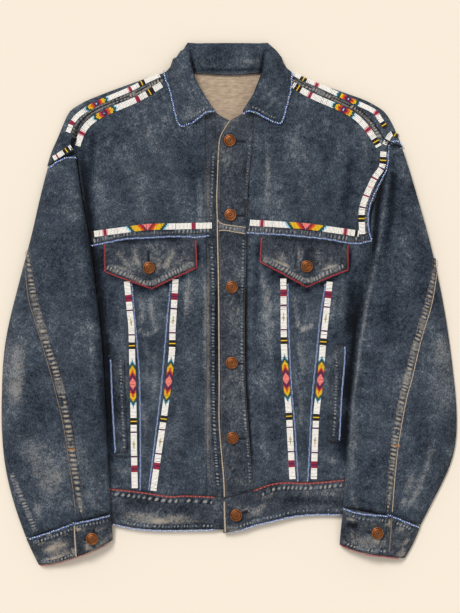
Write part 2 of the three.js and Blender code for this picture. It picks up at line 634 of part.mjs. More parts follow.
// Cuffs. The band starts on top at its free end, goes round the inner edge, underneath and round the
// outer edge, and ends on top under its own free end.

const CUFF = {
  left: {
    rows: [
      { outer: [-285, -329.6], inner: [-165, -293.6] },
      { outer: [-276, -350], inner: [-163.5, -315], bow: -2 },
      { outer: [-267, -367.4], inner: [-163, -332], bow: -5 },
    ],
    free: 0.59, height: 15.5,
  },
  right: {
    rows: [
      { outer: [269, -311.8], inner: [160, -285.8], bow: 3 },
      { outer: [260, -336], inner: [157, -313] },
      { outer: [247, -357.5], inner: [155, -339], bow: -3 },
    ],
    free: 0.42, height: 15.5,
  },
};
const CUFF_LAP = 0.27;       // share of the cuff's width that lies under its free end
const CUFF_STEPS = { lap: 6, under: 6, over: 8 };
const CUFF_SPARE = 0.4;      // looseness of the free end over the layer below
const CUFF_TURN = 0.995;     // share of the width where the top turns down at the inner edge
const CUFF_CROWD = 1.3;      // above 1 crowds the steps towards the outer edge

function cuffRing({ outer, inner, bow = 0 }, free, height) {
  const a = new THREE.Vector2(...outer), b = new THREE.Vector2(...inner);
  const width = a.distanceTo(b);
  const over = (s) => EDGE_RISE + (height - EDGE_RISE) * Math.sin(Math.PI * s) ** CROWN;
  const lapEnd = free + CUFF_LAP;
  const ring = [];
  const place = (s, z, below = false) => {
    const p = a.clone().lerp(b, s);
    ring.push({ x: p.x, y: p.y + bow * Math.sin(Math.PI * s), z, below });
  };
  for (let k = 0; k <= CUFF_STEPS.lap; k++) {
    const s = lerp(free, 1, k / CUFF_STEPS.lap);
    const lap = (DOUBLED + LAY_GAP + CUFF_SPARE) * (1 - smoothstep(s, lapEnd, 1));
    place(s, over(Math.min(s, CUFF_TURN)) + lap);
  }
  const margin = EDGE_ROUND / width;
  for (let k = 0; k < CUFF_STEPS.under; k++) {
    place(lerp(1 - margin, margin, k / (CUFF_STEPS.under - 1)), 0, true);
  }
  for (let k = 0; k <= CUFF_STEPS.over; k++) {
    const s = lapEnd * (k / CUFF_STEPS.over) ** CUFF_CROWD;
    place(s, over(s));
  }
  return ring;
}

function cuff(side, on) {
  const { rows, free, height } = CUFF[side];
  const order = side === 'right' ? rows : [...rows].reverse();
  const rings = order.map((row) => cuffRing(row, free, height));
  const first = rings[0].findIndex((p) => p.below);
  const places = [...Array(CUFF_STEPS.under + 2).keys()].map((k) => first - 1 + k);
  const bottom = places.map((i) => rings.map((r) => new THREE.Vector3(r[i].x, r[i].y, r[i].z)));
  settleUnderside(bottom, on);
  const raised = (i, j) => {
    const p = rings[j][i];
    const ends = [bottom[0][j], bottom[bottom.length - 1][j]];
    const t = THREE.MathUtils.clamp((p.x - ends[1].x) / (ends[0].x - ends[1].x), 0, 1);
    const lift = lerp(ends[1].z, ends[0].z, t) - EDGE_RISE;
    return new THREE.Vector3(p.x, p.y, p.z + lift);
  };
  const grid = rings[0].map((_, i) => rings.map((r, j) =>
    (places.includes(i) ? bottom[places.indexOf(i)][j] : raised(i, j))));
  const outer = trimmed(grid);
  const inner = offset(outer, gridNormals(grid, false), DOUBLED);
  return addMesh(`cuff_${side}`, wall(outer, inner), COLOURS.denimWorn);
}
cuff('left', ['waistband_left', 'waistband_back']);
cuff('right', ['waistband_right', 'waistband_back']);

// Collar. A row is a section from the neck seam over the fold to the outer edge.

const COLLAR = [
  { seam: [-19, 265, 15], fold: [-19, 269, 19], out: [-42, 258, 17], edge: [-68, 248, 14.8] },
  { seam: [-27, 274, 14], fold: [-27, 280, 21], out: [-51, 267, 19], edge: [-72, 258, 14.8] },
  { seam: [-35, 286, 14], fold: [-35, 292, 22], out: [-60, 282, 20], edge: [-77, 272, 14.8] },
  { seam: [-45, 301, 14], fold: [-45, 309, 22], out: [-66, 300, 20], edge: [-81, 290, 14.8] },
  { seam: [-49, 311, 14], fold: [-50, 321, 22], out: [-71, 314, 20], edge: [-87, 306, 14.8] },
  { seam: [-51, 317, 10], fold: [-53, 333, 20], out: [-76, 329, 18], edge: [-93, 322, 14] },
  { seam: [-52, 320, 7], fold: [-55, 344, 16], out: [-79, 343, 8], edge: [-80, 331, 0] },
  { seam: [-51, 322, 5], fold: [-56, 354, 13], out: [-68, 355, 5], edge: [-68, 331, 0] },
  { seam: [-49, 323, 4.5], fold: [-56, 361, 11], out: [-58, 367.5, 4.5], edge: [-56, 331, 0] },
  { seam: [-42, 323, 4.5], fold: [-45, 361, 10], out: [-45, 367.5, 4.5], edge: [-44, 330, 0] },
  { seam: [-20, 321, 4.5], fold: [-20, 361, 10], out: [-20, 367.5, 4.5], edge: [-20, 327, 0] },
  { seam: [0, 320, 4.5], fold: [0, 361, 10], out: [0, 367.5, 4.5], edge: [0, 326, 0] },
  { seam: [20, 321, 4.5], fold: [20, 361, 10], out: [20, 367.5, 4.5], edge: [20, 327, 0] },
  { seam: [40, 323, 4.5], fold: [42, 361, 10], out: [42, 367.5, 4.5], edge: [42, 330, 0] },
  { seam: [47, 323, 4.5], fold: [52, 361, 11], out: [54, 367.5, 4.5], edge: [53, 331, 0] },
  { seam: [49, 322, 5], fold: [51, 354, 13], out: [66, 356, 5], edge: [64, 331, 0] },
  { seam: [49, 320, 10], fold: [49, 344, 16], out: [74, 345, 8], edge: [75, 331, 0] },
  { seam: [48, 317, 15], fold: [47, 333, 21], out: [72, 330, 18], edge: [87, 324, 14] },
  { seam: [46, 309, 18], fold: [44, 318, 24], out: [68, 312, 20], edge: [87, 306, 14.8] },
  { seam: [40, 297, 18], fold: [39, 305, 24], out: [64, 297, 20], edge: [84, 290, 14.8] },
  { seam: [32, 285, 18], fold: [32, 291, 24], out: [60, 279, 20], edge: [80, 272, 14.8] },
  { seam: [26, 275, 18], fold: [26, 281, 24], out: [52, 267, 19], edge: [77, 260, 14.8] },
  { seam: [20, 267, 18.5], fold: [19, 269, 23], out: [46, 261, 18], edge: [73, 251, 14.8] },
];
const COLLAR_STEPS = 12;

function collar(on) {
  const grid = COLLAR.map(({ seam, fold: crest, out, edge }) => {
    const [s, f, o, e] = [seam, crest, out, edge].map((p) => new THREE.Vector3(...p));
    const turn = o.clone().lerp(e, 0.4);
    if (edge[2] === 0) turn.z = 0;
    const run = new THREE.CatmullRomCurve3([s, f, o, turn, e], false, 'centripetal');
    const points = run.getSpacedPoints(COLLAR_STEPS);
    points.forEach((p) => { p.z = Math.max(p.z, 0); });
    return points;
  });
  const normals = gridNormals(grid, false);
  const inner = offset(grid, normals, DOUBLED);
  const before = inner.map((points) => points.map((p) => p.z));
  settle(inner, topOf(on), TUBE_GAP);
  inner.forEach((points, i) => points.forEach((p, j) => { grid[i][j].z += p.z - before[i][j]; }));
  return addMesh('collar', wall(grid, inner), COLOURS.denim);
}
collar(['front_yoke_left', 'front_yoke_right', 'placket_left', 'placket_right', 'back_yoke']);

// Pocket flaps and hand pockets

const pointed = (a, tip, b) => (x) => (x < tip[0]
  ? lerp(a[1], tip[1], (x - a[0]) / (tip[0] - a[0])) : lerp(tip[1], b[1], (x - tip[0]) / (b[0] - tip[0])));
const FLAPS = {
  left: {
    left: down([[-176, 84], [-174, 40]]), right: down([[-48, 94], [-45, 50]]),
    bottom: pointed([-174, 46], [-110, 21], [-45, 52]), top: across([[-176, 83], [-112, 89], [-47, 92]]),
  },
  right: {
    left: down([[46, 97], [44, 56]]), right: down([[166, 86], [165, 45]]),
    bottom: pointed([44, 58], [105, 24], [165, 47]), top: across([[45, 96], [106, 93], [167, 85]]),
  },
};
const panelsOf = (side) => ['side', 'pocket', 'centre'].map((place) => `front_${place}_panel_${side}`);
const FLAP_STEPS = 8;
const FLAP_LIFT = 0.8;       // how far the flap's free edge stands off in the middle
const flapLift = (i, j) => (j === 0 ? FLAP_LIFT * Math.sin((Math.PI * i) / FLAP_STEPS) : 0);
for (const side of ['left', 'right']) {
  const grid = layout(FLAPS[side], FLAP_STEPS, 3);
  laidPiece(`pocket_flap_${side}`, grid, panelsOf(side), DOUBLED, COLOURS.denimWorn, flapLift);
}
const WELTS = {
  left: [[-155.5, -79], [-154, -135], [-150.5, -208]],
  right: [[154, -58], [150.5, -124], [146.5, -194]],
};
const WELT_WIDTH = 17;
for (const side of ['left', 'right']) {
  const grid = stripGrid(WELTS[side], WELT_WIDTH, 8, 2);
  laidPiece(`welt_${side}`, grid, panelsOf(side), DOUBLED, COLOURS.denimWorn);
}

// Bead strips

const YOKES = ['front_yoke_left', 'front_yoke_right', 'back_yoke', 'placket_left'];
const NARROW = 7;            // the strips on the shoulder roll
const POCKET_STRIPS = {
  left: {
    outer: [[-143, 30], [-139, -12], [-136, -55], [-132, -258]],
    inner: [[-75, 33], [-79, -33], [-82, -90], [-106, -261]],
  },
  right: {
    inner: [[76, 34], [77, -52], [80, -107], [84, -158], [89, -245]],
    outer: [[141, 30], [133, -44], [128, -107], [122, -158], [119, -245]],
  },
};
const YOKE_STRIPS = {
  yoke_left: { steps: 12, path: [[-192, 97], [-146, 103], [-115, 107], [-84, 108], [-25, 109]] },
  yoke_right: { steps: 12, path: [[30, 113], [78, 110], [109, 108], [140, 104], [181, 98]] },
  armhole_right: {
    steps: 12,
    path: [[187, 98], [186, 120], [187, 134], [193, 152], [204, 176], [214, 191], [216, 211.5]],
  },
  shoulder_front_left: {
    steps: 14,
    path: [[-95, 306], [-129, 286], [-175, 266], [-196, 252], [-206, 238], [-212, 222]],
  },
  shoulder_back_left: {
    steps: 14,
    width: NARROW,
    path: [[-98, 320], [-121, 309.5], [-139, 300], [-185, 280], [-209, 265], [-219, 254], [-225, 241]],
  },
  shoulder_front_right: {
    steps: 14,
    path: [[90, 305.5], [115, 291], [161, 271], [179, 260], [190, 249], [200, 236], [209, 221]],
  },
  shoulder_back_right: {
    steps: 14,
    width: NARROW,
    path: [[91, 322], [106, 314], [125, 306], [168, 286], [202, 270], [211, 259], [219, 247]],
  },
  sleeve_head_left: { steps: 6, width: NARROW, path: [[-221, 219], [-235, 210], [-247, 203]] },
};
const POCKET_STEPS = 18;
for (const [side, strips] of Object.entries(POCKET_STRIPS)) {
  for (const [place, path] of Object.entries(strips)) {
    const grid = stripGrid(path, STRIP_WIDTH, POCKET_STEPS);
    laidPiece(`bead_strip_pocket_${side}_${place}`, grid, panelsOf(side), BEAD_LAYER, COLOURS.beads);
  }
}
for (const [name, { path, steps, width = STRIP_WIDTH }] of Object.entries(YOKE_STRIPS)) {
  laidPiece(`bead_strip_${name}`, stripGrid(path, width, steps), YOKES, BEAD_LAYER, COLOURS.beads);
}

// Buttons: a pressed disc with a rim and a raised middle

const BUTTON_PROFILE = [[0, 0], [0.86, 0], [1, 0.3], [0.94, 0.8], [0.7, 0.62], [0.46, 0.86], [0, 1]];
const BUTTON_SIDES = 16;
const SEAT_POINTS = 32;      // round the rim, where a button may touch
const BUTTONS = [
  { name: 'front_button_1', at: [1, 228], on: ['placket_right'] },
  { name: 'front_button_2', at: [2, 124], on: ['placket_right'] },
  { name: 'front_button_3', at: [4, 23], on: ['placket_right'] },
  { name: 'front_button_4', at: [4, -83], on: ['placket_right'] },
  { name: 'front_button_5', at: [5, -188], on: ['placket_right'] },
  { name: 'front_button_6', at: [10, -296], on: ['waistband_right'] },
  { name: 'flap_button_left', at: [-112, 50], on: ['pocket_flap_left'] },
  { name: 'flap_button_right', at: [109, 52], on: ['pocket_flap_right'] },
  { name: 'cuff_button_left', at: [-191, -328], on: ['cuff_left'] },
  { name: 'cuff_button_right', at: [207, -320], on: ['cuff_right'] },
];
for (const { name, at: [x, y], on } of BUTTONS) {
  const profile = BUTTON_PROFILE.map(([r, z]) => new THREE.Vector2(r * BUTTON_RADIUS, z * BUTTON_HEIGHT));
  const geometry = new THREE.LatheGeometry(profile, BUTTON_SIDES).rotateX(Math.PI / 2);
  const top = topOf(on);
  let seat = top(x, y);
  for (let k = 0; k < SEAT_POINTS; k++) {
    const turn = (2 * Math.PI * k) / SEAT_POINTS;
    for (const reach of [BUTTON_RADIUS / 2, BUTTON_RADIUS]) {
      seat = Math.max(seat, top(x + reach * Math.cos(turn), y + reach * Math.sin(turn)));
    }
  }
  const mesh = addMesh(name, geometry, COLOURS.copper, 0.4, 0.9);
  mesh.position.set(x, y, seat + LAY_GAP);
}

export default group;
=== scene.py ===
# %% [markdown]
# # A beaded denim jacket, laid flat
# The jacket lies on its back on a cream table and is seen from straight above.
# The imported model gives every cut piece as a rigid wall. Here each piece becomes
# soft cloth, and the sewing, the glass beads and the buttons are added on it.

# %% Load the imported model
import math
import random
import bpy
import bmesh
import numpy as np
from mathutils import Matrix, Vector
from mathutils.bvhtree import BVHTree


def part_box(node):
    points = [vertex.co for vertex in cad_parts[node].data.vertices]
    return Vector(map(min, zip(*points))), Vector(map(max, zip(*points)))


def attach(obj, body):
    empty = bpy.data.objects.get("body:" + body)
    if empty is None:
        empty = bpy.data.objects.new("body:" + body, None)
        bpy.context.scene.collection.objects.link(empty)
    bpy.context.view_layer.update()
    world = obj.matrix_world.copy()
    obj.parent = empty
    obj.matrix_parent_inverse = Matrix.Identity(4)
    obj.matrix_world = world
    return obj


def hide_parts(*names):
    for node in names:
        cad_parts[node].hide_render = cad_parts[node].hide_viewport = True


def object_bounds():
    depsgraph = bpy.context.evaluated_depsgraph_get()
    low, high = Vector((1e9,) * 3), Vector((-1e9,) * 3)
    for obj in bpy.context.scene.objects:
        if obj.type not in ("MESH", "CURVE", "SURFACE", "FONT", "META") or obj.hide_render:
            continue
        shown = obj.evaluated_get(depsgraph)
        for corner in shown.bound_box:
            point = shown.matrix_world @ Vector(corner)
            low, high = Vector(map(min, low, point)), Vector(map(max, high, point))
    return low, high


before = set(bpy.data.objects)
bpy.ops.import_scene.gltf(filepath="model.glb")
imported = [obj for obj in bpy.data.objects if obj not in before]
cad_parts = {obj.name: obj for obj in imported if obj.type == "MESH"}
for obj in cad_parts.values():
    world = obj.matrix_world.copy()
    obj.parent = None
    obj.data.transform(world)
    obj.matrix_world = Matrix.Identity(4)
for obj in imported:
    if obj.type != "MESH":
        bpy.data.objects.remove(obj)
model_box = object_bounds()
MM = 0.001
print("model box", [round(v, 4) for corner in model_box for v in corner])

# %% [markdown]
# ## The camera
# A flat garment is photographed from straight above with a long lens, so its
# edges lean very little. One pixel of the picture is 1.4 mm of cloth, which
# the 17 mm buttons give. `spot` turns a place in the picture into a place on
# the table, so the sewing lines can be read off the photograph.

# %% Camera straight above
PIXEL = 1.4 * MM
PICTURE = (460, 613)
PICTURE_ZERO = (229.0, 303.5)
LENS = 100
SENSOR = 36
CLOTH_LEVEL = 12 * MM


def spot(across, down):
    """The place on the table, in metres, of a place in the picture."""
    return Vector(((across - PICTURE_ZERO[0]) * PIXEL, (PICTURE_ZERO[1] - down) * PIXEL))


lens = bpy.data.cameras.new("overhead")
lens.lens = LENS
lens.sensor_width = SENSOR
camera = bpy.data.objects.new("overhead", lens)
middle = spot(PICTURE[0] / 2, PICTURE[1] / 2)
height = PICTURE[1] * PIXEL * LENS / SENSOR
camera.location = (middle.x, middle.y, CLOTH_LEVEL + height)
bpy.context.scene.collection.objects.link(camera)
bpy.context.scene.camera = camera
print("camera height", round(height, 3))

# %% [markdown]
# ## Helpers for materials
# Colours are written as the sRGB hex values that the eye reads, and one
# function turns them linear. One more adds a shader node with its links.

# %% Colour and node helpers


def linear(code):
    """An sRGB hex colour as linear RGBA."""
    parts = [int(code[i : i + 2], 16) / 255 for i in (1, 3, 5)]
    return [c / 12.92 if c <= 0.04045 else ((c + 0.055) / 1.055) ** 2.4 for c in parts] + [1.0]


def add(tree, kind, links=None, **settings):
    """One shader node with its settings, and its sockets set or joined."""
    made = tree.nodes.new("ShaderNode" + kind)
    for name, value in settings.items():
        setattr(made, name, value)
    for socket, source in (links or {}).items():
        if isinstance(source, bpy.types.NodeSocket):
            tree.links.new(source, made.inputs[socket])
        else:
            made.inputs[socket].default_value = source
    return made


def new_material(name, roughness, **sockets):
    """A material with its shader, ready for a pattern."""
    made = bpy.data.materials.new(name)
    made.use_nodes = True
    shader = made.node_tree.nodes["Principled BSDF"]
    shader.inputs["Roughness"].default_value = roughness
    for socket, value in sockets.items():
        shader.inputs[socket.replace("_", " ")].default_value = value
    return made, made.node_tree, shader


print("the middle grey #808080 is", round(linear("#808080")[0], 3), "in linear light")

# %% [markdown]
# ## From a bmesh to a mesh
# Every new piece starts as a bmesh, which is Blender's open workbench for
# points and faces. One helper closes it: it writes the mesh, frees the bmesh,
# shades the faces smooth and gives the mesh its finishes.

# %% Closing a bmesh


def as_mesh(bm, name, *finishes):
    """The bmesh as a smooth-shaded mesh with its finishes."""
    mesh = bpy.data.meshes.new(name)
    bm.to_mesh(mesh)
    bm.free()
    mesh.polygons.foreach_set("use_smooth", [True] * len(mesh.polygons))
    for finish in finishes:
        mesh.materials.append(finish)
    return mesh


# %% [markdown]
# ## Table and light
# The photograph has a plain cream ground with a soft shadow close round the
# cloth. A broad sun from the upper left gives the folds a lit side, and an
# even sky keeps the shadows open.

# %% Cream table and soft light
TABLE_HALF = 4.0
TABLE_DROP = 0.2 * MM
SKY_STRENGTH = 0.60
KEY_STRENGTH, KEY_SPREAD = 2.15, 20
FILL_STRENGTH, FILL_SPREAD = 0.35, 60

paper, _, shader = new_material("cream_paper", 0.9, Specular_IOR_Level=0.1)
shader.inputs["Base Color"].default_value = linear("#e5d9c8")
table_bm = bmesh.new()
bmesh.ops.create_grid(table_bm, x_segments=1, y_segments=1, size=TABLE_HALF)
bmesh.ops.translate(table_bm, verts=table_bm.verts, vec=(0, 0, -TABLE_DROP))
table = bpy.data.objects.new("table", as_mesh(table_bm, "table", paper))
bpy.context.scene.collection.objects.link(table)

sky = bpy.data.worlds.new("studio")
sky.use_nodes = True
background = sky.node_tree.nodes["Background"]
background.inputs["Color"].default_value = (1, 1, 1, 1)
background.inputs["Strength"].default_value = SKY_STRENGTH
bpy.context.scene.world = sky
bpy.context.scene.view_settings.view_transform = "Standard"


def sun(name, strength, towards, spread):
    """A broad sun that shines along a direction."""
    light = bpy.data.lights.new(name, "SUN")
    light.energy = strength
    light.angle = math.radians(spread)
    lamp = bpy.data.objects.new(name, light)
    lamp.rotation_mode = "QUATERNION"
    lamp.rotation_quaternion = Vector(towards).to_track_quat("-Z", "Y")
    bpy.context.scene.collection.objects.link(lamp)


sun("key", KEY_STRENGTH, (0.55, -0.85, -1.25), KEY_SPREAD)
sun("fill", FILL_STRENGTH, (-0.8, 0.3, -1.2), FILL_SPREAD)
print("table and lights made")

# %% [markdown]
# ## Folds, and fading with painted shade, as two maps
# A worn jacket shows two things that follow its sewing. The cloth rises and
# dips in soft creases, and indigo rubs away wherever the cloth stands proud.
# Both are drawn here as lines on a map of the jacket with 1 mm cells: `relief`
# holds how much each cell is lifted and the second map how far the blue has
# gone. Where the second map is negative it holds painted shade, which darkens
# the cloth in dips, beside overlapping pieces and under the flaps.

# %% Maps of the front
CELL = 1.0 * MM
MARGIN = 12 * MM
low, high = model_box
across_cells = int((high.x - low.x + 2 * MARGIN) / CELL)
up_cells = int((high.y - low.y + 2 * MARGIN) / CELL)
map_x = low.x - MARGIN + CELL * np.arange(across_cells)
map_y = low.y - MARGIN + CELL * np.arange(up_cells)
relief = np.zeros((up_cells, across_cells))
# The fading map also holds painted shade, as negative values.
fade_and_shade = np.zeros((up_cells, across_cells))
rng = np.random.RandomState(7)
print("map cells", across_cells, up_cells)

# %% Cloudy patches, because no worn cloth is even


def cloudy(size):
    """Smooth uneven values from 0 to 1 whose patches are about `size` metres wide."""
    rows = int(up_cells * CELL / size) + 3
    columns = int(across_cells * CELL / size) + 3
    coarse = rng.rand(rows, columns)
    v = np.arange(up_cells) * CELL / size
    u = np.arange(across_cells) * CELL / size
    i, j = v.astype(int), u.astype(int)
    s, t = (v - i)[:, None], (u - j)[None, :]
    s, t = s * s * (3 - 2 * s), t * t * (3 - 2 * t)
    a = coarse[np.ix_(i, j)] * (1 - t) + coarse[np.ix_(i, j + 1)] * t
    b = coarse[np.ix_(i + 1, j)] * (1 - t) + coarse[np.ix_(i + 1, j + 1)] * t
    return a * (1 - s) + b * s


uneven = 0.55 * cloudy(26 * MM) + 0.45 * cloudy(9 * MM)
print("unevenness from", round(uneven.min(), 2), "to", round(uneven.max(), 2))

# %% Drawing a line on a map, and reading a map
TAPER = 0.25
ROUGH = 0.6


def draw(target, places, width, amount):
    """Adds a soft line to a map, thinner at its ends and uneven along its way."""
    points = [spot(u, v) for u, v in places]
    steps = [0.0]
    for a, b in zip(points, points[1:]):
        steps.append(steps[-1] + (b - a).length)
    reach = 3 * width
    xs = [p.x for p in points]
    ys = [p.y for p in points]
    c0, c1 = np.searchsorted(map_x, [min(xs) - reach, max(xs) + reach])
    r0, r1 = np.searchsorted(map_y, [min(ys) - reach, max(ys) + reach])
    gx, gy = np.meshgrid(map_x[c0:c1], map_y[r0:r1])
    nearest = np.full(gx.shape, np.inf)
    share = np.zeros(gx.shape)
    for k, (a, b) in enumerate(zip(points, points[1:])):
        d = b - a
        t = np.clip(((gx - a.x) * d.x + (gy - a.y) * d.y) / max(d.length_squared, 1e-12), 0, 1)
        gap = np.hypot(gx - a.x - t * d.x, gy - a.y - t * d.y)
        closer = gap < nearest
        nearest[closer] = gap[closer]
        share[closer] = ((steps[k] + t * d.length) / steps[-1])[closer]
    ends = np.clip(np.minimum(share, 1 - share) / TAPER, 0, 1)
    broken = 1 - ROUGH + ROUGH * 1.6 * uneven[r0:r1, c0:c1]
    target[r0:r1, c0:c1] += amount * ends * broken * np.exp(-((nearest / width) ** 2))


def read(target, co):
    """The map's values at points, between its cells."""
    u = np.clip((co[:, 0] - map_x[0]) / CELL, 0, across_cells - 2)
    v = np.clip((co[:, 1] - map_y[0]) / CELL, 0, up_cells - 2)
    i, j = v.astype(int), u.astype(int)
    s, t = v - i, u - j
    top = target[i, j] * (1 - t) + target[i, j + 1] * t
    return top * (1 - s) + (target[i + 1, j] * (1 - t) + target[i + 1, j + 1] * t) * s


# %% [markdown]
# ## The creases themselves
# Each row is one soft line that was read off the photograph: its places in
# the picture, its width in mm, its height in mm and how much it fades the
# blue. A negative height is a dip, and a negative fading is painted shade,
# which darkens the cloth in dips, beside overlapping pieces and under the flaps.

# %% Creases of the front
CREASES = [
    # front yokes and chest
    ([(199, 170), (200, 200), (200, 226)], 4, 0.8, 0.30),
    ([(190, 150), (193, 190), (194, 220)], 7, -0.9, -0.12),
    ([(123, 150), (140, 190), (150, 222)], 16, 1.1, 0.12),
    ([(90, 128), (84, 150), (86, 185), (92, 225)], 9, -1.6, -0.35),
    ([(97, 130), (93, 160), (97, 200)], 7, 1.2, 0.18),
    ([(120, 118), (150, 135), (175, 165)], 14, 0.9, 0.14),
    ([(268, 132), (268, 170), (266, 215)], 4, 0.8, 0.30),
    ([(300, 160), (306, 190), (303, 218)], 9, 1.0, 0.14),
    ([(322, 140), (330, 175), (330, 215)], 8, -1.2, -0.22),
    ([(350, 130), (352, 160), (345, 200), (343, 222)], 8, -1.3, -0.30),
    ([(362, 130), (366, 150), (364, 175)], 5, 0.9, 0.20),
    ([(285, 130), (300, 150), (320, 165)], 12, 0.8, 0.12),
    # below the flaps, inside the pocket wedges
    ([(140, 292), (142, 312), (141, 326)], 4, 0.9, 0.30),
    ([(150, 296), (152, 318), (156, 333)], 4, 0.8, 0.34),
    ([(138, 328), (146, 336), (160, 330)], 3, 0.7, 0.38),
    ([(143, 340), (148, 355), (146, 380)], 4, 0.8, 0.26),
    ([(152, 350), (156, 372), (152, 400)], 4, 0.7, 0.22),
    ([(142, 400), (146, 430), (141, 465)], 5, 0.9, 0.20),
    ([(293, 292), (297, 315), (299, 326)], 3, 0.9, 0.36),
    ([(306, 296), (308, 314), (313, 325)], 3, 0.7, 0.26),
    ([(294, 322), (303, 329), (315, 325)], 3, 0.8, 0.44),
    ([(298, 336), (300, 352), (305, 372)], 4, 0.8, 0.24),
    ([(296, 380), (301, 400), (302, 430)], 5, 0.8, 0.20),
    ([(303, 400), (306, 440), (304, 475)], 4, -0.7, -0.10),
    # centre panels
    ([(190, 250), (188, 285), (187, 320)], 5, 0.9, 0.26),
    ([(201, 250), (205, 290), (205, 340), (204, 372)], 3, 0.6, 0.30),
    ([(204, 340), (206, 380), (207, 430), (208, 480)], 3, 0.5, 0.34),
    ([(178, 390), (177, 430), (176, 480)], 7, 1.1, 0.14),
    ([(188, 370), (190, 410), (189, 470)], 8, -0.9, -0.10),
    ([(168, 420), (170, 450), (167, 485)], 5, 0.9, 0.14),
    ([(262, 250), (264, 290), (268, 330), (272, 380)], 6, 1.0, 0.22),
    ([(256, 250), (256, 300), (254, 350)], 6, -0.8, -0.16),
    ([(274, 330), (278, 370), (282, 410)], 5, -1.0, -0.20),
    ([(262, 400), (264, 440), (268, 478)], 6, 0.9, 0.12),
    ([(276, 420), (280, 450), (281, 475)], 6, -0.8, -0.14),
    # side panels
    ([(108, 290), (112, 320), (113, 350)], 7, 1.0, 0.14),
    ([(120, 330), (124, 350), (126, 372)], 4, 0.8, 0.28),
    ([(122, 372), (127, 385), (129, 400)], 3, 0.6, 0.26),
    ([(112, 462), (122, 472), (131, 468)], 5, 0.9, 0.30),
    ([(113, 474), (118, 482), (128, 486)], 5, -1.0, -0.14),
    ([(342, 262), (343, 290), (341, 330)], 4, 0.8, 0.20),
    ([(352, 262), (352, 300), (348, 340)], 7, -1.4, -0.34),
    ([(330, 360), (326, 380), (328, 400)], 3, 0.7, 0.24),
    ([(324, 452), (330, 462), (343, 460)], 4, 0.8, 0.22),
    ([(322, 470), (332, 476), (344, 470)], 5, -0.8, -0.10),
    # pale rubbed rims of the flaps and of the pocket bags under them
    ([(108, 265), (123, 270), (138, 276)], 2.2, 0.5, 0.60),
    ([(162, 275), (178, 268.5), (191, 263)], 2.2, 0.5, 0.60),
    ([(265, 257), (280, 264), (294, 271)], 2.2, 0.5, 0.55),
    ([(318, 272), (330, 267.5), (342, 264)], 2.2, 0.5, 0.55),
    ([(139, 327), (142, 330)], 3, 0.6, 0.60),
    ([(147, 331), (148.5, 335)], 2.6, 0.6, 0.70),
    ([(155, 333), (156.5, 328)], 2.6, 0.6, 0.70),
    ([(160, 334), (163, 331)], 2.4, 0.5, 0.45),
    ([(145, 334), (152, 336), (158, 335)], 1.8, -0.6, -0.40),
    ([(296, 321), (299, 325)], 2.6, 0.6, 0.60),
    ([(303, 327), (305, 330)], 2.6, 0.6, 0.65),
    ([(310, 328), (313, 325)], 2.6, 0.6, 0.60),
    # bag outline of the pockets
    ([(114, 300), (119, 318), (121, 330)], 3, 0.5, 0.26),
    ([(184, 285), (186, 310), (184, 326)], 3, 0.5, 0.26),
    ([(268, 285), (268, 302), (272, 316)], 3, 0.6, 0.34),
    ([(335, 285), (333, 306), (330, 318)], 3, 0.5, 0.24),
]
print("creases of the front", len(CREASES))

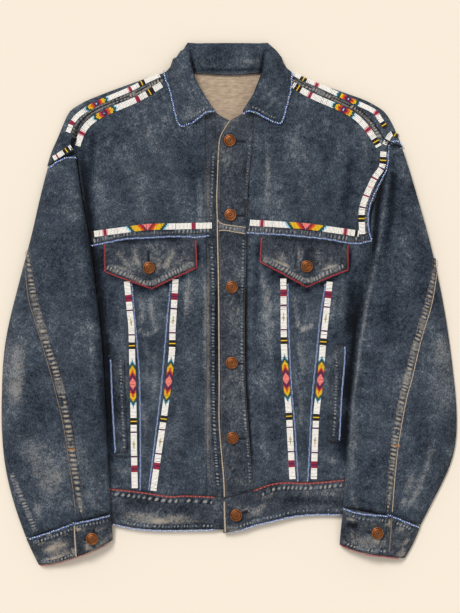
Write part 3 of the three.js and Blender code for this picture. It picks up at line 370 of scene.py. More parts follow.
# %% Painted shade where pieces meet
CREASES += [
    # deep painted shade beside the sleeves, which lie over the body, with pale raised lines beside it
    ([(77, 142), (80.5, 165), (85, 195), (89, 226), (97.5, 288), (104.5, 343), (108.5, 420), (111, 490)],
     3.4, -1.0, -1.0),
    ([(82, 145), (84, 170), (92, 226), (100, 288), (107, 343), (111, 420), (113, 480)], 9, -0.8, -0.50),
    ([(73, 160), (80, 200), (86, 245), (91, 288), (98, 343), (103, 420), (105, 480)], 7, -0.5, -0.30),
    ([(88, 130), (86, 150), (87, 175)], 3, 1.0, 0.25),
    ([(95, 128), (92, 150), (93, 185)], 5, -1.2, -0.45),
    ([(387, 156), (381, 185), (377, 212), (375, 240), (372, 262)], 4.2, -1.4, -0.90),
    ([(390, 148), (388, 180), (383, 215), (378, 247), (372, 280), (367, 302), (362.5, 330), (358, 362),
      (353, 400), (349, 450), (346, 500)], 3.2, 1.4, 0.32),
    ([(394, 150), (393, 180), (390, 215), (384, 260)], 6, -1.2, -0.50),
    ([(366, 262), (361, 290), (357, 320), (353, 350), (349, 385), (346, 420), (344, 480)], 5, -1.0, -0.80),
    ([(358, 262), (355, 290), (351, 330), (346, 380), (342, 440), (339, 480)], 9, -0.6, -0.35),
    # painted shade under the flaps
    ([(105, 275), (127, 283.5), (149.6, 292), (173, 281.5), (198, 270)], 3.2, -0.3, -0.75),
    ([(260, 266), (284, 278.5), (307, 290), (327, 282), (349, 273)], 3.2, -0.3, -0.75),
    ([(102, 246), (102.6, 272)], 2.6, -0.3, -0.6),
    ([(198, 242), (198.4, 266)], 2.6, -0.3, -0.6),
    ([(259.4, 238), (258.6, 262)], 2.6, -0.3, -0.5),
    ([(349.8, 246), (349, 270)], 2.6, -0.3, -0.6),
    # painted shade on both sides of the placket and under the beaded edges, and pale raised lines on the
    # placket
    ([(247.6, 150), (246.8, 215)], 2.6, -0.5, -0.45),
    ([(246.5, 245), (245.5, 300), (246, 380), (249, 430), (253, 486)], 3.0, -0.7, -0.75),
    ([(214.4, 150), (213.6, 220)], 2.4, -0.4, -0.35),
    ([(215.4, 244), (216, 300), (216.4, 380), (218, 440), (220.6, 486)], 2.8, -0.4, -0.60),
    ([(207.6, 150), (206.8, 185), (206, 222)], 2.0, 0.4, 0.30),
    ([(207.4, 250), (207, 300), (207.6, 380), (209, 440)], 2.2, 0.4, 0.30),
    ([(104, 246), (125, 242), (147, 240.8), (169, 239.6), (196, 240.4)], 3.0, -0.3, -0.40),
    ([(262, 236.6), (285, 238), (307, 240), (329, 242.4), (349, 246)], 3.0, -0.3, -0.40),
    # painted shade along the collar folds, and a dark line at the neck seam
    ([(190, 44), (191, 60), (195, 74), (204, 92), (212, 106)], 2.6, -0.4, -0.60),
    ([(266, 44), (263, 60), (261, 72), (256, 88), (248, 102)], 2.6, -0.4, -0.60),
    ([(192, 69.5), (228, 69.5), (262, 68)], 2.2, -0.2, -0.5),
]
print("with the shade", len(CREASES))

# %% Broad wear, broad painted shade, and the wear and painted shade of the cuffs
CREASES += [
    # broad wear and broad painted shade
    ([(14, 320), (9, 370), (13, 420)], 20, 0.4, 0.22),
    ([(445, 330), (446, 380), (440, 430)], 14, 0.3, 0.20),
    ([(60, 185), (60, 230), (62, 270)], 34, 0.0, 0.10),
    ([(30, 430), (48, 470), (62, 500)], 26, 0.2, 0.30),
    ([(70, 420), (84, 460), (92, 500)], 20, 0.0, 0.22),
    ([(190, 260), (190, 340), (190, 460)], 16, 0.0, 0.08),
    ([(115, 262), (150, 268), (188, 258)], 12, 0.0, 0.12),
    ([(44, 553), (56, 548), (70, 542)], 16, 0.0, 0.30),
    ([(86, 545), (104, 535)], 14, 0.0, 0.16),
    ([(346, 530), (366, 538), (384, 540)], 14, 0.0, 0.16),
    ([(405, 170), (412, 230), (424, 270), (430, 310)], 16, -0.2, -0.28),
    ([(112, 285), (116, 340)], 8, -0.2, -0.28),
    ([(276, 501), (342, 501)], 9, -0.2, -0.45),
    # the left cuff: tan at the foot, pale patches at the seam, painted shade in the dents between
    ([(41, 563), (56, 560), (70, 555)], 4, 0.3, 0.80),
    ([(66, 556), (74, 553), (75, 546)], 4, 0.2, 0.60),
    ([(36, 543), (42, 541), (45, 542)], 3, 0.4, 0.75),
    ([(47, 538), (52, 536.5), (54, 539)], 3, 0.4, 0.60),
    ([(60, 532), (66, 530), (68, 532)], 3, 0.4, 0.65),
    ([(34, 546), (48, 543), (60, 538)], 1.6, -0.6, -0.80),
    ([(40, 550), (52, 547), (64, 541)], 4, 0.3, 0.25),
    ([(50, 552), (58, 546), (66, 540)], 2, -0.3, -0.30),
    ([(76, 526), (80, 527.5), (78, 530)], 3, 0.4, 0.85),
    ([(83, 526), (87, 528)], 4, 0.4, 0.70),
    ([(92, 530), (98, 533)], 3, -0.5, -0.50),
    ([(84, 540), (88, 545), (86, 551)], 3, 0.3, 0.35),
    ([(95, 545), (104, 541), (110, 536)], 4, 0.3, 0.38),
    ([(108, 536), (113, 535), (112, 541)], 3, 0.3, 0.40),
    ([(88, 550), (89, 554)], 1.6, -0.4, -0.60),
    # the right cuff: mottled nearly all over, with thin lines of painted shade
    ([(345, 515), (352, 518), (357, 516)], 4, 0.4, 0.60),
    ([(344, 523), (354, 525), (366, 523)], 1.8, -0.6, -0.80),
    ([(345, 535), (350, 536), (354, 533)], 1.8, 0.4, 0.55),
    ([(341, 543), (348, 546), (356, 545)], 3, 0.4, 0.60),
    ([(358, 543), (366, 547), (374, 546)], 4, 0.3, 0.40),
    ([(372, 538), (378, 541), (384, 538)], 2.4, 0.4, 0.65),
    ([(380, 548), (383, 541), (386, 536)], 1.8, 0.4, 0.60),
    ([(379, 545), (381, 538)], 1.4, -0.5, -0.60),
    ([(384, 518), (389, 521), (386, 525)], 4, 0.4, 0.85),
    ([(368, 518), (374, 522), (378, 518)], 3, 0.3, 0.40),
    ([(400, 524), (407, 528), (412, 534)], 2.2, 0.4, 0.50),
    ([(403, 534), (409, 536), (413, 533)], 1.6, -0.5, -0.55),
    ([(404, 542), (410, 541)], 2, 0.4, 0.55),
    ([(396, 553), (401, 556), (406, 551)], 5, 0.3, 0.65),
    ([(394, 540), (397, 548)], 4, 0.2, 0.25),
    ([(224, 529), (234, 531), (246, 524)], 6, 0.2, 0.45),
    ([(120, 516), (150, 522), (180, 521), (206, 518)], 4, 0.5, 0.45),
]
print("with the wear", len(CREASES))

# %% Creases of the sleeves, flaps, plackets, waistband, cuffs and collar
CREASES += [
    # sleeves
    ([(74, 165), (80, 210), (86, 260), (92, 310), (96, 380), (98, 440)], 7, 0.9, 0.16),
    ([(50, 190), (58, 240), (70, 300)], 16, -1.1, -0.10),
    ([(26, 330), (20, 370), (18, 410)], 12, 1.0, 0.34),
    ([(32, 350), (40, 400), (44, 440)], 14, -1.5, -0.22),
    ([(20, 430), (34, 462), (48, 500)], 12, 0.9, 0.16),
    ([(52, 486), (62, 502), (72, 514)], 3, 0.7, 0.30),
    ([(50, 480), (56, 470), (66, 486)], 4, 0.5, 0.18),
    ([(86, 490), (96, 506), (104, 512)], 4, 0.8, 0.22),
    ([(36, 500), (38, 516), (36, 528)], 5, 0.8, 0.34),
    ([(80, 420), (90, 450), (92, 480)], 12, -1.0, -0.10),
    ([(404, 160), (408, 200), (408, 250)], 7, 0.9, 0.14),
    ([(392, 270), (384, 330), (374, 400)], 14, -1.0, -0.12),
    ([(358, 400), (354, 440), (350, 490)], 6, 0.9, 0.20),
    ([(416, 170), (424, 220), (430, 255)], 8, 0.7, 0.10),
    ([(440, 330), (438, 370), (430, 410)], 14, 0.9, 0.24),
    ([(424, 400), (420, 440), (412, 480)], 12, -1.4, -0.18),
    ([(436, 430), (424, 470), (410, 510)], 7, 1.2, 0.36),
    ([(414, 455), (408, 485), (406, 515)], 4, 0.9, 0.36),
    ([(396, 508), (402, 505), (404, 496)], 3, 0.8, 0.42),
    ([(372, 490), (378, 502), (380, 512)], 4, 0.7, 0.20),
    ([(350, 490), (356, 505), (362, 512)], 4, 0.7, 0.26),
    # flaps, creases that run from the buttonhole
    ([(116, 250), (124, 260), (128, 268)], 3, 0.8, 0.40),
    ([(133, 246), (136, 258), (140, 268)], 4, 0.9, 0.34),
    ([(140, 250), (142, 262), (144, 270)], 4, -0.7, -0.20),
    ([(154, 250), (160, 262), (156, 276)], 3, 0.7, 0.24),
    ([(176, 246), (170, 258), (163, 270)], 4, 0.9, 0.38),
    ([(186, 250), (181, 260), (172, 268)], 3, 0.6, 0.26),
    ([(280, 250), (285, 262), (274, 256)], 4, 0.8, 0.32),
    ([(293, 250), (297, 262), (297, 272)], 3, -0.8, -0.24),
    ([(299, 246), (300, 258), (299, 270)], 3, 0.9, 0.42),
    ([(317, 248), (318, 258), (322, 266)], 5, 0.9, 0.30),
    ([(333, 252), (331, 262), (325, 270)], 3, 0.6, 0.20),
    # plackets
    ([(222, 160), (232, 185), (236, 206)], 4, 0.6, 0.18),
    ([(226, 296), (240, 312), (245, 322)], 3, 0.6, 0.34),
    ([(220, 302), (230, 310), (234, 330)], 4, 0.5, 0.18),
    ([(228, 372), (240, 382), (246, 380)], 4, 0.7, 0.26),
    ([(222, 376), (226, 386), (234, 398)], 4, 0.6, 0.24),
    ([(222, 444), (232, 452), (236, 462)], 4, 0.6, 0.22),
    ([(222, 392), (226, 410), (224, 430)], 4, -0.5, -0.14),
    ([(222, 466), (236, 478), (250, 486)], 5, 0.6, 0.18),
    # waistband
    ([(113, 507), (134, 514), (160, 520), (186, 516)], 4, 0.9, 0.34),
    ([(114, 498), (150, 505), (190, 508), (214, 506)], 6, -0.9, -0.20),
    ([(150, 522), (178, 518), (204, 522)], 3, 0.6, 0.34),
    ([(232, 503), (240, 511), (256, 512), (270, 502)], 4, 1.0, 0.38),
    ([(262, 500), (268, 492), (276, 497)], 3, 0.8, 0.40),
    ([(236, 520), (250, 524), (262, 518)], 5, -0.9, -0.22),
    ([(286, 494), (312, 493), (342, 494)], 3, 0.6, 0.26),
    ([(280, 505), (310, 507), (340, 505)], 9, 0.8, 0.22),
    # cuffs
    ([(40, 552), (56, 548), (74, 540)], 4, 0.6, 0.30),
    ([(44, 562), (60, 556), (72, 550)], 4, 0.5, 0.34),
    ([(92, 526), (98, 530), (108, 524)], 4, 0.7, 0.24),
    ([(84, 544), (92, 550), (104, 546)], 4, 0.6, 0.26),
    ([(346, 520), (358, 524), (372, 524)], 4, 0.7, 0.28),
    ([(346, 536), (360, 540), (374, 538)], 4, 0.6, 0.34),
    ([(352, 528), (364, 530), (372, 534)], 5, -0.7, -0.20),
    ([(394, 526), (402, 532), (412, 538)], 4, 0.7, 0.32),
    ([(394, 540), (402, 546), (405, 555)], 4, 0.6, 0.30),
    # collar
    ([(276, 96), (272, 104), (264, 112)], 2.5, 0.7, 0.34),
    ([(283, 84), (270, 94), (258, 101)], 2.5, 0.6, 0.22),
    ([(184, 112), (188, 116), (196, 112)], 2.5, 0.6, 0.34),
    ([(176, 60), (180, 76), (186, 96)], 9, 0.6, 0.10),
    ([(196, 58), (206, 66), (222, 66)], 4, 0.5, 0.20),
    ([(240, 58), (252, 62), (262, 60)], 4, 0.5, 0.20),
]
print("creases in all", len(CREASES))

# %% Drawing them on both maps
# Negative fading values draw painted shade.
for places, width, rise, rub in CREASES:
    draw(relief, places, width * MM, rise * MM)
    draw(fade_and_shade, places, width * 0.8 * MM, rub)
broad_waves = (cloudy(34 * MM) - 0.5) * 0.9 * MM
small_waves = (cloudy(13 * MM) - 0.5) * 0.5 * MM
relief += broad_waves + small_waves
print("highest fold", round(relief.max() / MM, 1), "mm, deepest dip", round(relief.min() / MM, 1), "mm")

# %% [markdown]
# ## Denim
# Denim is a cotton twill with indigo warp and pale weft. Washing leaves it
# mottled, and rubbed edges go tan where the dyed skin of the yarn has worn
# off. The shader mixes a dark and a washed blue by broad clouds, by mottling
# about a centimetre wide, by flecks of pale yarn and by a few hair-fine
# scratches. Where the fading map is negative it goes down to a near-black
# indigo, which is painted shade. The twill line is 0.6 mm on the real cloth,
# too fine to show, so the bump draws it at 1.6 mm.

# %% Washed indigo denim and its worn twin
TWILL = 1.6 * MM
TWILL_TURN = math.radians(27)
WAVE = 0.314  # a wave texture of scale 1 repeats every 0.314 m
CLOUD = 42 * MM
MOTTLE = 7 * MM
HAIR = 13 * MM
SPECK = 2.6 * MM
FLECK = (1 / (1.5 * MM), 1 / (2.6 * MM), 200.0)  # flecks per metre: 1.5 mm wide, 2.6 mm long
# The near-black bottom of the denim's ramp is painted shade, reached by negative fading values.
PAINTED_SHADE_INDIGO = "#090c12"


def denim(name, deep, washed, pale, rubbed, rubbing):
    """Washed denim: dull cotton that shows mottled blue, pale flecks, tan rubbed edges and painted shade."""
    made, tree, shader = new_material(name, 0.92, Specular_IOR_Level=0.12, Sheen_Weight=0.05)
    where = add(tree, "TexCoord").outputs["Object"]
    # The fading attribute is real wear where positive and painted shade where negative.
    wear_and_shade = add(tree, "Attribute", attribute_name="fade_and_shade").outputs["Fac"]
    broad = {"Vector": where, "Scale": 1 / CLOUD, "Detail": 3.0}
    clouds = add(tree, "TexNoise", broad).outputs[0]
    blotches = {"Vector": where, "Scale": 1 / MOTTLE, "Detail": 4.0, "Roughness": 0.7}
    mottle = add(tree, "TexNoise", blotches).outputs[0]
    stretched = add(tree, "Mapping", {"Vector": where, "Scale": FLECK}).outputs[0]
    pale_yarn = {"Vector": stretched, "Scale": 1.0, "Detail": 2.0, "Roughness": 0.6}
    flecks = add(tree, "TexNoise", pale_yarn).outputs[0]

    # Hair-fine scratches lie where a wandering noise passes its middle value.
    winding = {"Vector": where, "Scale": 1 / HAIR, "Detail": 2.5, "Distortion": 0.9}
    wander = add(tree, "TexNoise", winding).outputs[0]
    ridge = add(tree, "Math", {0: wander, 1: 0.5, 2: 0.012}, operation="COMPARE").outputs[0]
    patches = add(tree, "MapRange", {"Value": clouds, "From Min": 0.47, "From Max": 0.66}).outputs[0]
    hairs = add(tree, "Math", {0: ridge, 1: patches}, operation="MULTIPLY").outputs[0]

    # The shares of all patterns add up to one tone, and a ramp gives it its blue.
    # Its near-black first stop is painted shade.
    tone = -0.13
    for pattern, share in ((clouds, 0.44), (mottle, 0.50), (flecks, 0.62), (hairs, 0.10), (wear_and_shade, 0.50)):
        tone = add(tree, "Math", {0: pattern, 1: share, 2: tone}, operation="MULTIPLY_ADD").outputs[0]
    ramp = add(tree, "ValToRGB", {"Fac": tone})
    ramp.color_ramp.elements[0].position = 0.30
    ramp.color_ramp.elements[0].color = linear(PAINTED_SHADE_INDIGO)
    ramp.color_ramp.elements[1].position = 1.0
    ramp.color_ramp.elements[1].color = linear(pale)
    ramp.color_ramp.elements.new(0.50).color = linear(deep)
    ramp.color_ramp.elements.new(0.72).color = linear(washed)

    # Where the cloth is rubbed most, specks of the tan core show through.
    fine = {"Vector": where, "Scale": 1 / SPECK, "Detail": 3.0, "Roughness": 0.7}
    specks = add(tree, "TexNoise", fine).outputs[0]
    core = -0.90
    for pattern, share in ((specks, 1.8), (wear_and_shade, rubbing)):
        core = add(tree, "Math", {0: pattern, 1: share, 2: core}, operation="MULTIPLY_ADD").outputs[0]
    shown = add(tree, "MapRange", {"Value": core, "From Min": 0.18, "From Max": 0.95}).outputs[0]
    colours = {"Factor": shown, 6: ramp.outputs[0], 7: linear(rubbed)}
    rub = add(tree, "Mix", colours, data_type="RGBA")
    tree.links.new(rub.outputs[2], shader.inputs["Base Color"])

    # The twill lines, the mottling and the flecks stand up a little.
    turned = add(tree, "Mapping", {"Vector": where, "Rotation": (0, 0, TWILL_TURN)}).outputs[0]
    lines = {"Vector": turned, "Scale": WAVE / TWILL, "Distortion": 1.2, "Detail": 2.0, "Detail Scale": 2.0}
    height = add(tree, "TexWave", lines).outputs["Fac"]
    for pattern, share in ((mottle, 1.8), (flecks, 2.0)):
        height = add(tree, "Math", {0: pattern, 1: share, 2: height}, operation="MULTIPLY_ADD").outputs[0]
    bump = add(tree, "Bump", {"Height": height, "Strength": 0.7, "Distance": 0.4 * MM})
    tree.links.new(bump.outputs[0], shader.inputs["Normal"])
    return made


washed_denim = denim("washed_indigo_denim", "#1c232d", "#3f4853", "#83888c", "#958a7c", 1.0)
worn_denim = denim("rubbed_indigo_denim", "#191e26", "#3f454e", "#878885", "#a09280", 1.15)
print("denims", washed_denim.name, worn_denim.name)

# %% [markdown]
# ## The reverse of the cloth
# Inside the neck the back yoke shows its reverse, where the undyed weft lies
# on top. It is beige and even, with a faint slub.

# %% Undyed reverse of the twill
weft, tree, shader = new_material("undyed_weft_side", 0.95, Specular_IOR_Level=0.1)
where = add(tree, "TexCoord").outputs["Object"]
slub = add(tree, "Mapping", {"Vector": where, "Scale": (1 / (9 * MM), 1 / (2.4 * MM), 200.0)})
threads = add(tree, "TexNoise", {"Vector": slub.outputs[0], "Scale": 1.0, "Detail": 4.0, "Roughness": 0.6})
ramp = add(tree, "ValToRGB", {"Fac": threads.outputs[0]})
ramp.color_ramp.elements[0].position = 0.3
ramp.color_ramp.elements[0].color = linear("#95826e")
ramp.color_ramp.elements[1].position = 0.72
ramp.color_ramp.elements[1].color = linear("#bfa992")
tree.links.new(ramp.outputs[0], shader.inputs["Base Color"])
bump = add(tree, "Bump", {"Height": threads.outputs[0], "Strength": 0.4, "Distance": 0.3 * MM})
tree.links.new(bump.outputs[0], shader.inputs["Normal"])
print("reverse", weft.name)

# %% [markdown]
# ## Smoothing the cut pieces
# Every cut piece of the model is copied, its triangles are merged to four
# sided faces and a subdivision surface smooths it. The cut edges are marked
# as creases, so the wall keeps its 1.5 mm edge.

# %% A smooth copy of a node
SHARP = math.radians(62)
SAME_PLACE = 0.02 * MM
NEARLY_FLAT = math.radians(30)
NEARLY_SQUARE = math.radians(60)


def link(name, mesh):
    """A new object in the scene that rides with the jacket."""
    made = bpy.data.objects.new(name, mesh)
    bpy.context.scene.collection.objects.link(made)
    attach(made, "root")
    return made


def smooth_copy(node, levels, sharp):
    """The node's wall as one smooth mesh, creased where its edges turn more than sharp."""
    bm = bmesh.new()
    bm.from_mesh(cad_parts[node].data)
    bmesh.ops.remove_doubles(bm, verts=bm.verts, dist=SAME_PLACE)
    bmesh.ops.join_triangles(
        bm, faces=bm.faces, angle_face_threshold=NEARLY_FLAT, angle_shape_threshold=NEARLY_SQUARE
    )
    keep = bm.edges.layers.float.new("crease_edge")
    for edge in bm.edges:
        if len(edge.link_faces) == 2 and edge.calc_face_angle(0) > sharp:
            edge[keep] = 1.0
    rough = bpy.data.objects.new(node, as_mesh(bm, node))
    bpy.context.scene.collection.objects.link(rough)
    smooth = rough.modifiers.new("smooth", "SUBSURF")
    smooth.levels = levels
    smooth.render_levels = levels
    shown = rough.evaluated_get(bpy.context.evaluated_depsgraph_get())
    made = bpy.data.meshes.new_from_object(shown)
    bpy.data.objects.remove(rough)
    return made


# %% [markdown]
# ## What is cut
# Soft cloth is declared by the size of its flat cut, so that a soft body can
# be made of it later. The table holds each piece as the cutter would lay it
# out: width and length in millimetres and area in square centimetres. A
# second table says which pieces lie under which.

# %% [markdown]
# ## Cloth with folds
# The maps lift the top side of each piece into its folds and say where it has
# faded and where painted shade darkens it. The underside stays as it was, flat
# on the table, so the lift grows from nothing near the table to its full height
# a few millimetres up.

# %% One cut piece as soft cloth
LIFT_FROM, LIFT_FULL = 2.0 * MM, 6.0 * MM
FADE_AND_SHADE_FROM, FADE_AND_SHADE_FULL = 1.5 * MM, 4.0 * MM
BACK_FADE_AND_SHADE = 0.25
cloth_pieces = {}


def ease(value, start, end):
    """0 before start, 1 after end and smooth between."""
    t = np.clip((value - start) / (end - start), 0, 1)
    return t * t * (3 - 2 * t)


def set_fade_and_shade(mesh, values):
    """Writes how far the blue has gone at each point of a mesh, and where it is negative, painted shade."""
    layer = mesh.attributes.new("fade_and_shade", "FLOAT", "POINT")
    layer.data.foreach_set("value", np.asarray(values, np.float32))


def cloth(node, finish, levels, lifted=True, sharp=SHARP):
    """One cut piece as soft cloth that stands for its node."""
    mesh = smooth_copy(node, levels, sharp)
    count = len(mesh.vertices)
    co = np.empty(count * 3)
    mesh.vertices.foreach_get("co", co)
    co = co.reshape(-1, 3)
    if lifted:
        co[:, 2] += read(relief, co) * ease(co[:, 2], LIFT_FROM, LIFT_FULL)
        mesh.vertices.foreach_set("co", co.ravel())
        set_fade_and_shade(mesh, read(fade_and_shade, co) * ease(co[:, 2], FADE_AND_SHADE_FROM, FADE_AND_SHADE_FULL))
    else:
        set_fade_and_shade(mesh, BACK_FADE_AND_SHADE * read(fade_and_shade, co))
    mesh.materials.append(finish)
    made = link("cloth_" + node, mesh)
    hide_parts(node)
    cloth_pieces[node] = made


# %% The pieces of both sides and of the back
for side in ("left", "right"):
    for piece in ("yoke", "centre_panel", "pocket_panel", "side_panel"):
        cloth(f"front_{piece}_{side}", washed_denim, 2)
    for piece in ("waistband", "placket"):
        cloth(f"{piece}_{side}", worn_denim, 2)
    for piece in ("sleeve_front", "sleeve_back"):
        cloth(f"{piece}_{side}", washed_denim, 2)
    for piece in ("cuff", "pocket_flap", "welt"):
        cloth(f"{piece}_{side}", worn_denim, 2)
    cloth(f"back_side_panel_{side}", washed_denim, 1, lifted=False)
cloth("back_centre_panel", washed_denim, 1, lifted=False)
cloth("waistband_back", worn_denim, 1, lifted=False)
cloth("back_yoke", washed_denim, 2, lifted=False)
print("cloth pieces but for the collar", len(cloth_pieces))

# %% [markdown]
# ## The neck and the collar
# Through the open neck the inside of the back yoke shows, so its faces there
# get the undyed reverse. The collar's edges are creased from a smaller angle
# than those of the other pieces, because its outline has to stay straight.

# %% The reverse at the neck, and the collar
COLLAR_SHARP = math.radians(35)
FACES_UP = 0.3
NECK = [(193, 66), (262, 66), (262, 90), (256, 112), (246, 122), (214, 122), (203, 108), (194, 90)]


def inside(place, ring):
    """Whether a place lies inside a ring of places."""
    crossings = 0
    for a, b in zip(ring, ring[1:] + ring[:1]):
        if (a.y > place.y) != (b.y > place.y):
            crossings += place.x < a.x + (place.y - a.y) * (b.x - a.x) / (b.y - a.y)
    return crossings % 2 == 1


yoke = cloth_pieces["back_yoke"]
yoke.data.materials.append(weft)
neck_ring = [spot(u, v) for u, v in NECK]
turned = 0
for face in yoke.data.polygons:
    if face.normal.z > FACES_UP and inside(face.center, neck_ring):
        face.material_index = 1
        turned += 1
print("faces that show the reverse", turned)
cloth("collar", washed_denim, 2, sharp=COLLAR_SHARP)
print("cloth pieces", len(cloth_pieces))

# %% [markdown]
# ## Laying things on the cloth
# Sewing, beads and buttons all lie on the finished cloth. A ray dropped from
# above finds the cloth's height at any place, so each stitch follows the
# folds.

# %% Height of the cloth
UP = Vector((0, 0, 1))
RAY_START = 0.2
TABLE_CLOTH = 2 * MM


def cloth_tree(objects):
    """All the given pieces as one tree for finding the cloth's height."""
    points, faces = [], []
    for made in objects:
        first = len(points)
        points += [v.co.copy() for v in made.data.vertices]
        faces += [[first + i for i in p.vertices] for p in made.data.polygons]
    return BVHTree.FromPolygons(points, faces)


ground = cloth_tree(cloth_pieces.values())


def seat(place):
    """Height of the top cloth under a place on the table."""
    hit = ground.ray_cast(Vector((place.x, place.y, RAY_START)), -UP)[0]
    return hit.z if hit else TABLE_CLOTH


def highest(place, aside, reach):
    """Height of the cloth at a place or just beside it, for things sewn on an edge."""
    return max(seat(place), seat(place + aside * reach), seat(place - aside * reach))


print("cloth height at the third button", round(seat(spot(229, 286)) / MM, 1), "mm")

# %% [markdown]
# ## Even steps along a line
# A seam, a row of stitches and a strip of beads all follow a line through a
# few places. `walk` draws the smooth curve that passes through them all and
# steps along it by even distances, as one does with dividers.

# %% Walking along a line
FINE = 2 * MM


def mm_place(x, y):
    """A place on the table given in millimetres."""
    return Vector((x * MM, y * MM))


def walk(points, gap):
    """Even steps along a smooth line: place, direction and distance from its start."""
    fine = []
    for k in range(len(points) - 1):
        a = points[max(k - 1, 0)]
        b, c = points[k], points[k + 1]
        d = points[min(k + 2, len(points) - 1)]
        parts = max(2, int((c - b).length / FINE))
        for t in (i / parts for i in range(parts)):
            fine.append(0.5 * (2 * b + (c - a) * t + (2 * a - 5 * b + 4 * c - d) * t**2
                               + (3 * b - a - 3 * c + d) * t**3))
    fine.append(points[-1])
    lengths = np.cumsum([0] + [(q - p).length for p, q in zip(fine, fine[1:])])
    count = max(1, round(lengths[-1] / gap))
    steps = []
    for s in np.linspace(0, lengths[-1], count + 1):
        k = min(int(np.searchsorted(lengths, s, side="right")) - 1, len(fine) - 2)
        along = (fine[k + 1] - fine[k]).normalized()
        steps.append((fine[k] + along * (s - lengths[k]), along, s))
    return steps


print("steps of 10 mm along 100 mm", len(walk([mm_place(0, 0), mm_place(100, 0)], 10 * MM)) - 1)

# %% [markdown]
# ## Stamping copies
# Thousands of beads and stitches are too many objects. `stamp` copies one
# small mesh to every place and keeps all the copies in a single mesh.

# %% One mesh with many copies


def stamp(name, pattern, places):
    """One mesh that holds a copy of a small mesh at each place."""
    count, size = len(places), len(pattern.vertices)
    base = np.empty(size * 3)
    pattern.vertices.foreach_get("co", base)
    corners = np.empty(len(pattern.loops), int)
    pattern.loops.foreach_get("vertex_index", corners)
    starts = np.empty(len(pattern.polygons), int)
    pattern.polygons.foreach_get("loop_start", starts)
    turn = np.array([[list(row)[:3] for row in m][:3] for m in places])
    move = np.array([list(m.translation) for m in places])
    co = np.einsum("kij,nj->kni", turn, base.reshape(-1, 3)) + move[:, None, :]
    copies = np.arange(count)[:, None]
    mesh = bpy.data.meshes.new(name)
    mesh.vertices.add(count * size)
    mesh.loops.add(count * len(corners))
    mesh.polygons.add(count * len(starts))
    mesh.vertices.foreach_set("co", co.ravel())
    mesh.loops.foreach_set("vertex_index", (corners[None, :] + size * copies).ravel())
    mesh.polygons.foreach_set("loop_start", (starts[None, :] + len(corners) * copies).ravel())
    mesh.polygons.foreach_set("use_smooth", [True] * len(mesh.polygons))
    mesh.update(calc_edges=True)
    return mesh


# %% [markdown]
# ## Felled seams
# On a denim jacket the two edges of a seam are folded into each other and
# sewn down flat, which leaves a raised band. Its layers shift a little as
# they are sewn and shrink unevenly in the wash, so the band puckers every few
# millimetres, and the puckers rub pale. The troughs between them and the
# band's sides get painted shade. A band is a grid bent along the seam and
# given a thickness by extruding it down.

# %% Puckered seam bands
BAND_RISE = 0.7 * MM
PUCKER = 4.6 * MM
PUCKER_WEIGHTS = (0.05, 0.5, 0.9, 1.35)
SEAM_STEP = 1.2 * MM
bands = []


def band(name, places, width, slot_name="denim", finish=None, rise=BAND_RISE, pitch=PUCKER,
         pucker=0.45, slant=0.5, rub=(0.12, 0.75), columns=6, ends=10 * MM, narrow=1.0):
    """A raised strip of cloth along steps from walk, with puckers that rise and rub pale, and painted shade
    in the troughs and at the sides.
    """
    rows = len(places)
    bm = bmesh.new()
    bmesh.ops.create_grid(bm, x_segments=columns, y_segments=rows - 1, size=0.5)
    layer = bm.verts.layers.float.new("fade_and_shade")
    ordered = sorted(bm.verts, key=lambda v: (round(v.co.y, 6), round(v.co.x, 6)))
    seed = random.Random(name)
    phase = seed.random() * 6
    total = places[-1][2]
    weights = [seed.choice(PUCKER_WEIGHTS) for _ in range(int(total / pitch) + 6)]
    for k, vert in enumerate(ordered):
        # v runs from -1 to 1 across the band, and s along it.
        row, column = divmod(k, columns + 1)
        place, along, s = places[row]
        aside = Vector((along.y, -along.x))
        v = column / columns * 2 - 1
        near_end = min(1.0, s / ends, (total - s) / ends)
        at = place + aside * v * width / 2 * (narrow + (1 - narrow) * near_end)
        # The puckers come unevenly, and some are strong and some faint.
        slow_drift = 2.1 * math.sin(s / (pitch * 2.7) + phase)
        quick_drift = 1.1 * math.sin(s / (pitch * 1.1) + 2 * phase)
        drift = slow_drift + quick_drift
        turns = s / pitch + (slant * v * 2 + drift) / (2 * math.pi)
        ridge = math.sin(2 * math.pi * turns)
        strength = weights[max(0, min(len(weights) - 1, int(turns + 0.25) + 1))]
        crown = (1 - abs(v) ** 4) * 0.75 + 0.25
        lift = rise * crown * (1 + pucker * strength * ridge * (1 - 0.5 * v * v))
        vert.co = Vector((at.x, at.y, seat(at) + lift))
        # The crests rub pale; the troughs and the band's sides are painted darker, as painted shade.
        spot_rub = max(0.0, ridge) ** 1.5 * (1 - v * v) ** 2.2 - 0.45 * max(0.0, -ridge) - 0.25 * v * v
        vert[layer] = rub[0] + rub[1] * spot_rub * strength + 0.12 * (seed.random() - 0.5)
    smoothing = [v for v in bm.verts if not v.is_boundary]
    bmesh.ops.smooth_vert(bm, verts=smoothing, factor=0.25, use_axis_z=True)
    bmesh.ops.recalc_face_normals(bm, faces=bm.faces)
    if sum(f.normal.z for f in bm.faces) < 0:
        bmesh.ops.reverse_faces(bm, faces=bm.faces)
    # The sheet gets its thickness: a copy of its faces goes down.
    under = bmesh.ops.extrude_face_region(bm, geom=bm.faces[:], use_keep_orig=True)
    bottom = [g for g in under["geom"] if isinstance(g, bmesh.types.BMVert)]
    bmesh.ops.translate(bm, verts=bottom, vec=(0, 0, -rise * 1.6))
    bmesh.ops.recalc_face_normals(bm, faces=bm.faces)
    made = link(name, as_mesh(bm, name, finish or washed_denim))
    bands.append(made)


def seam(name, places, width, **more):
    """A band along picture places, with its width in millimetres."""
    band("seam_" + name, walk([spot(u, v) for u, v in places], SEAM_STEP), width * MM, **more)


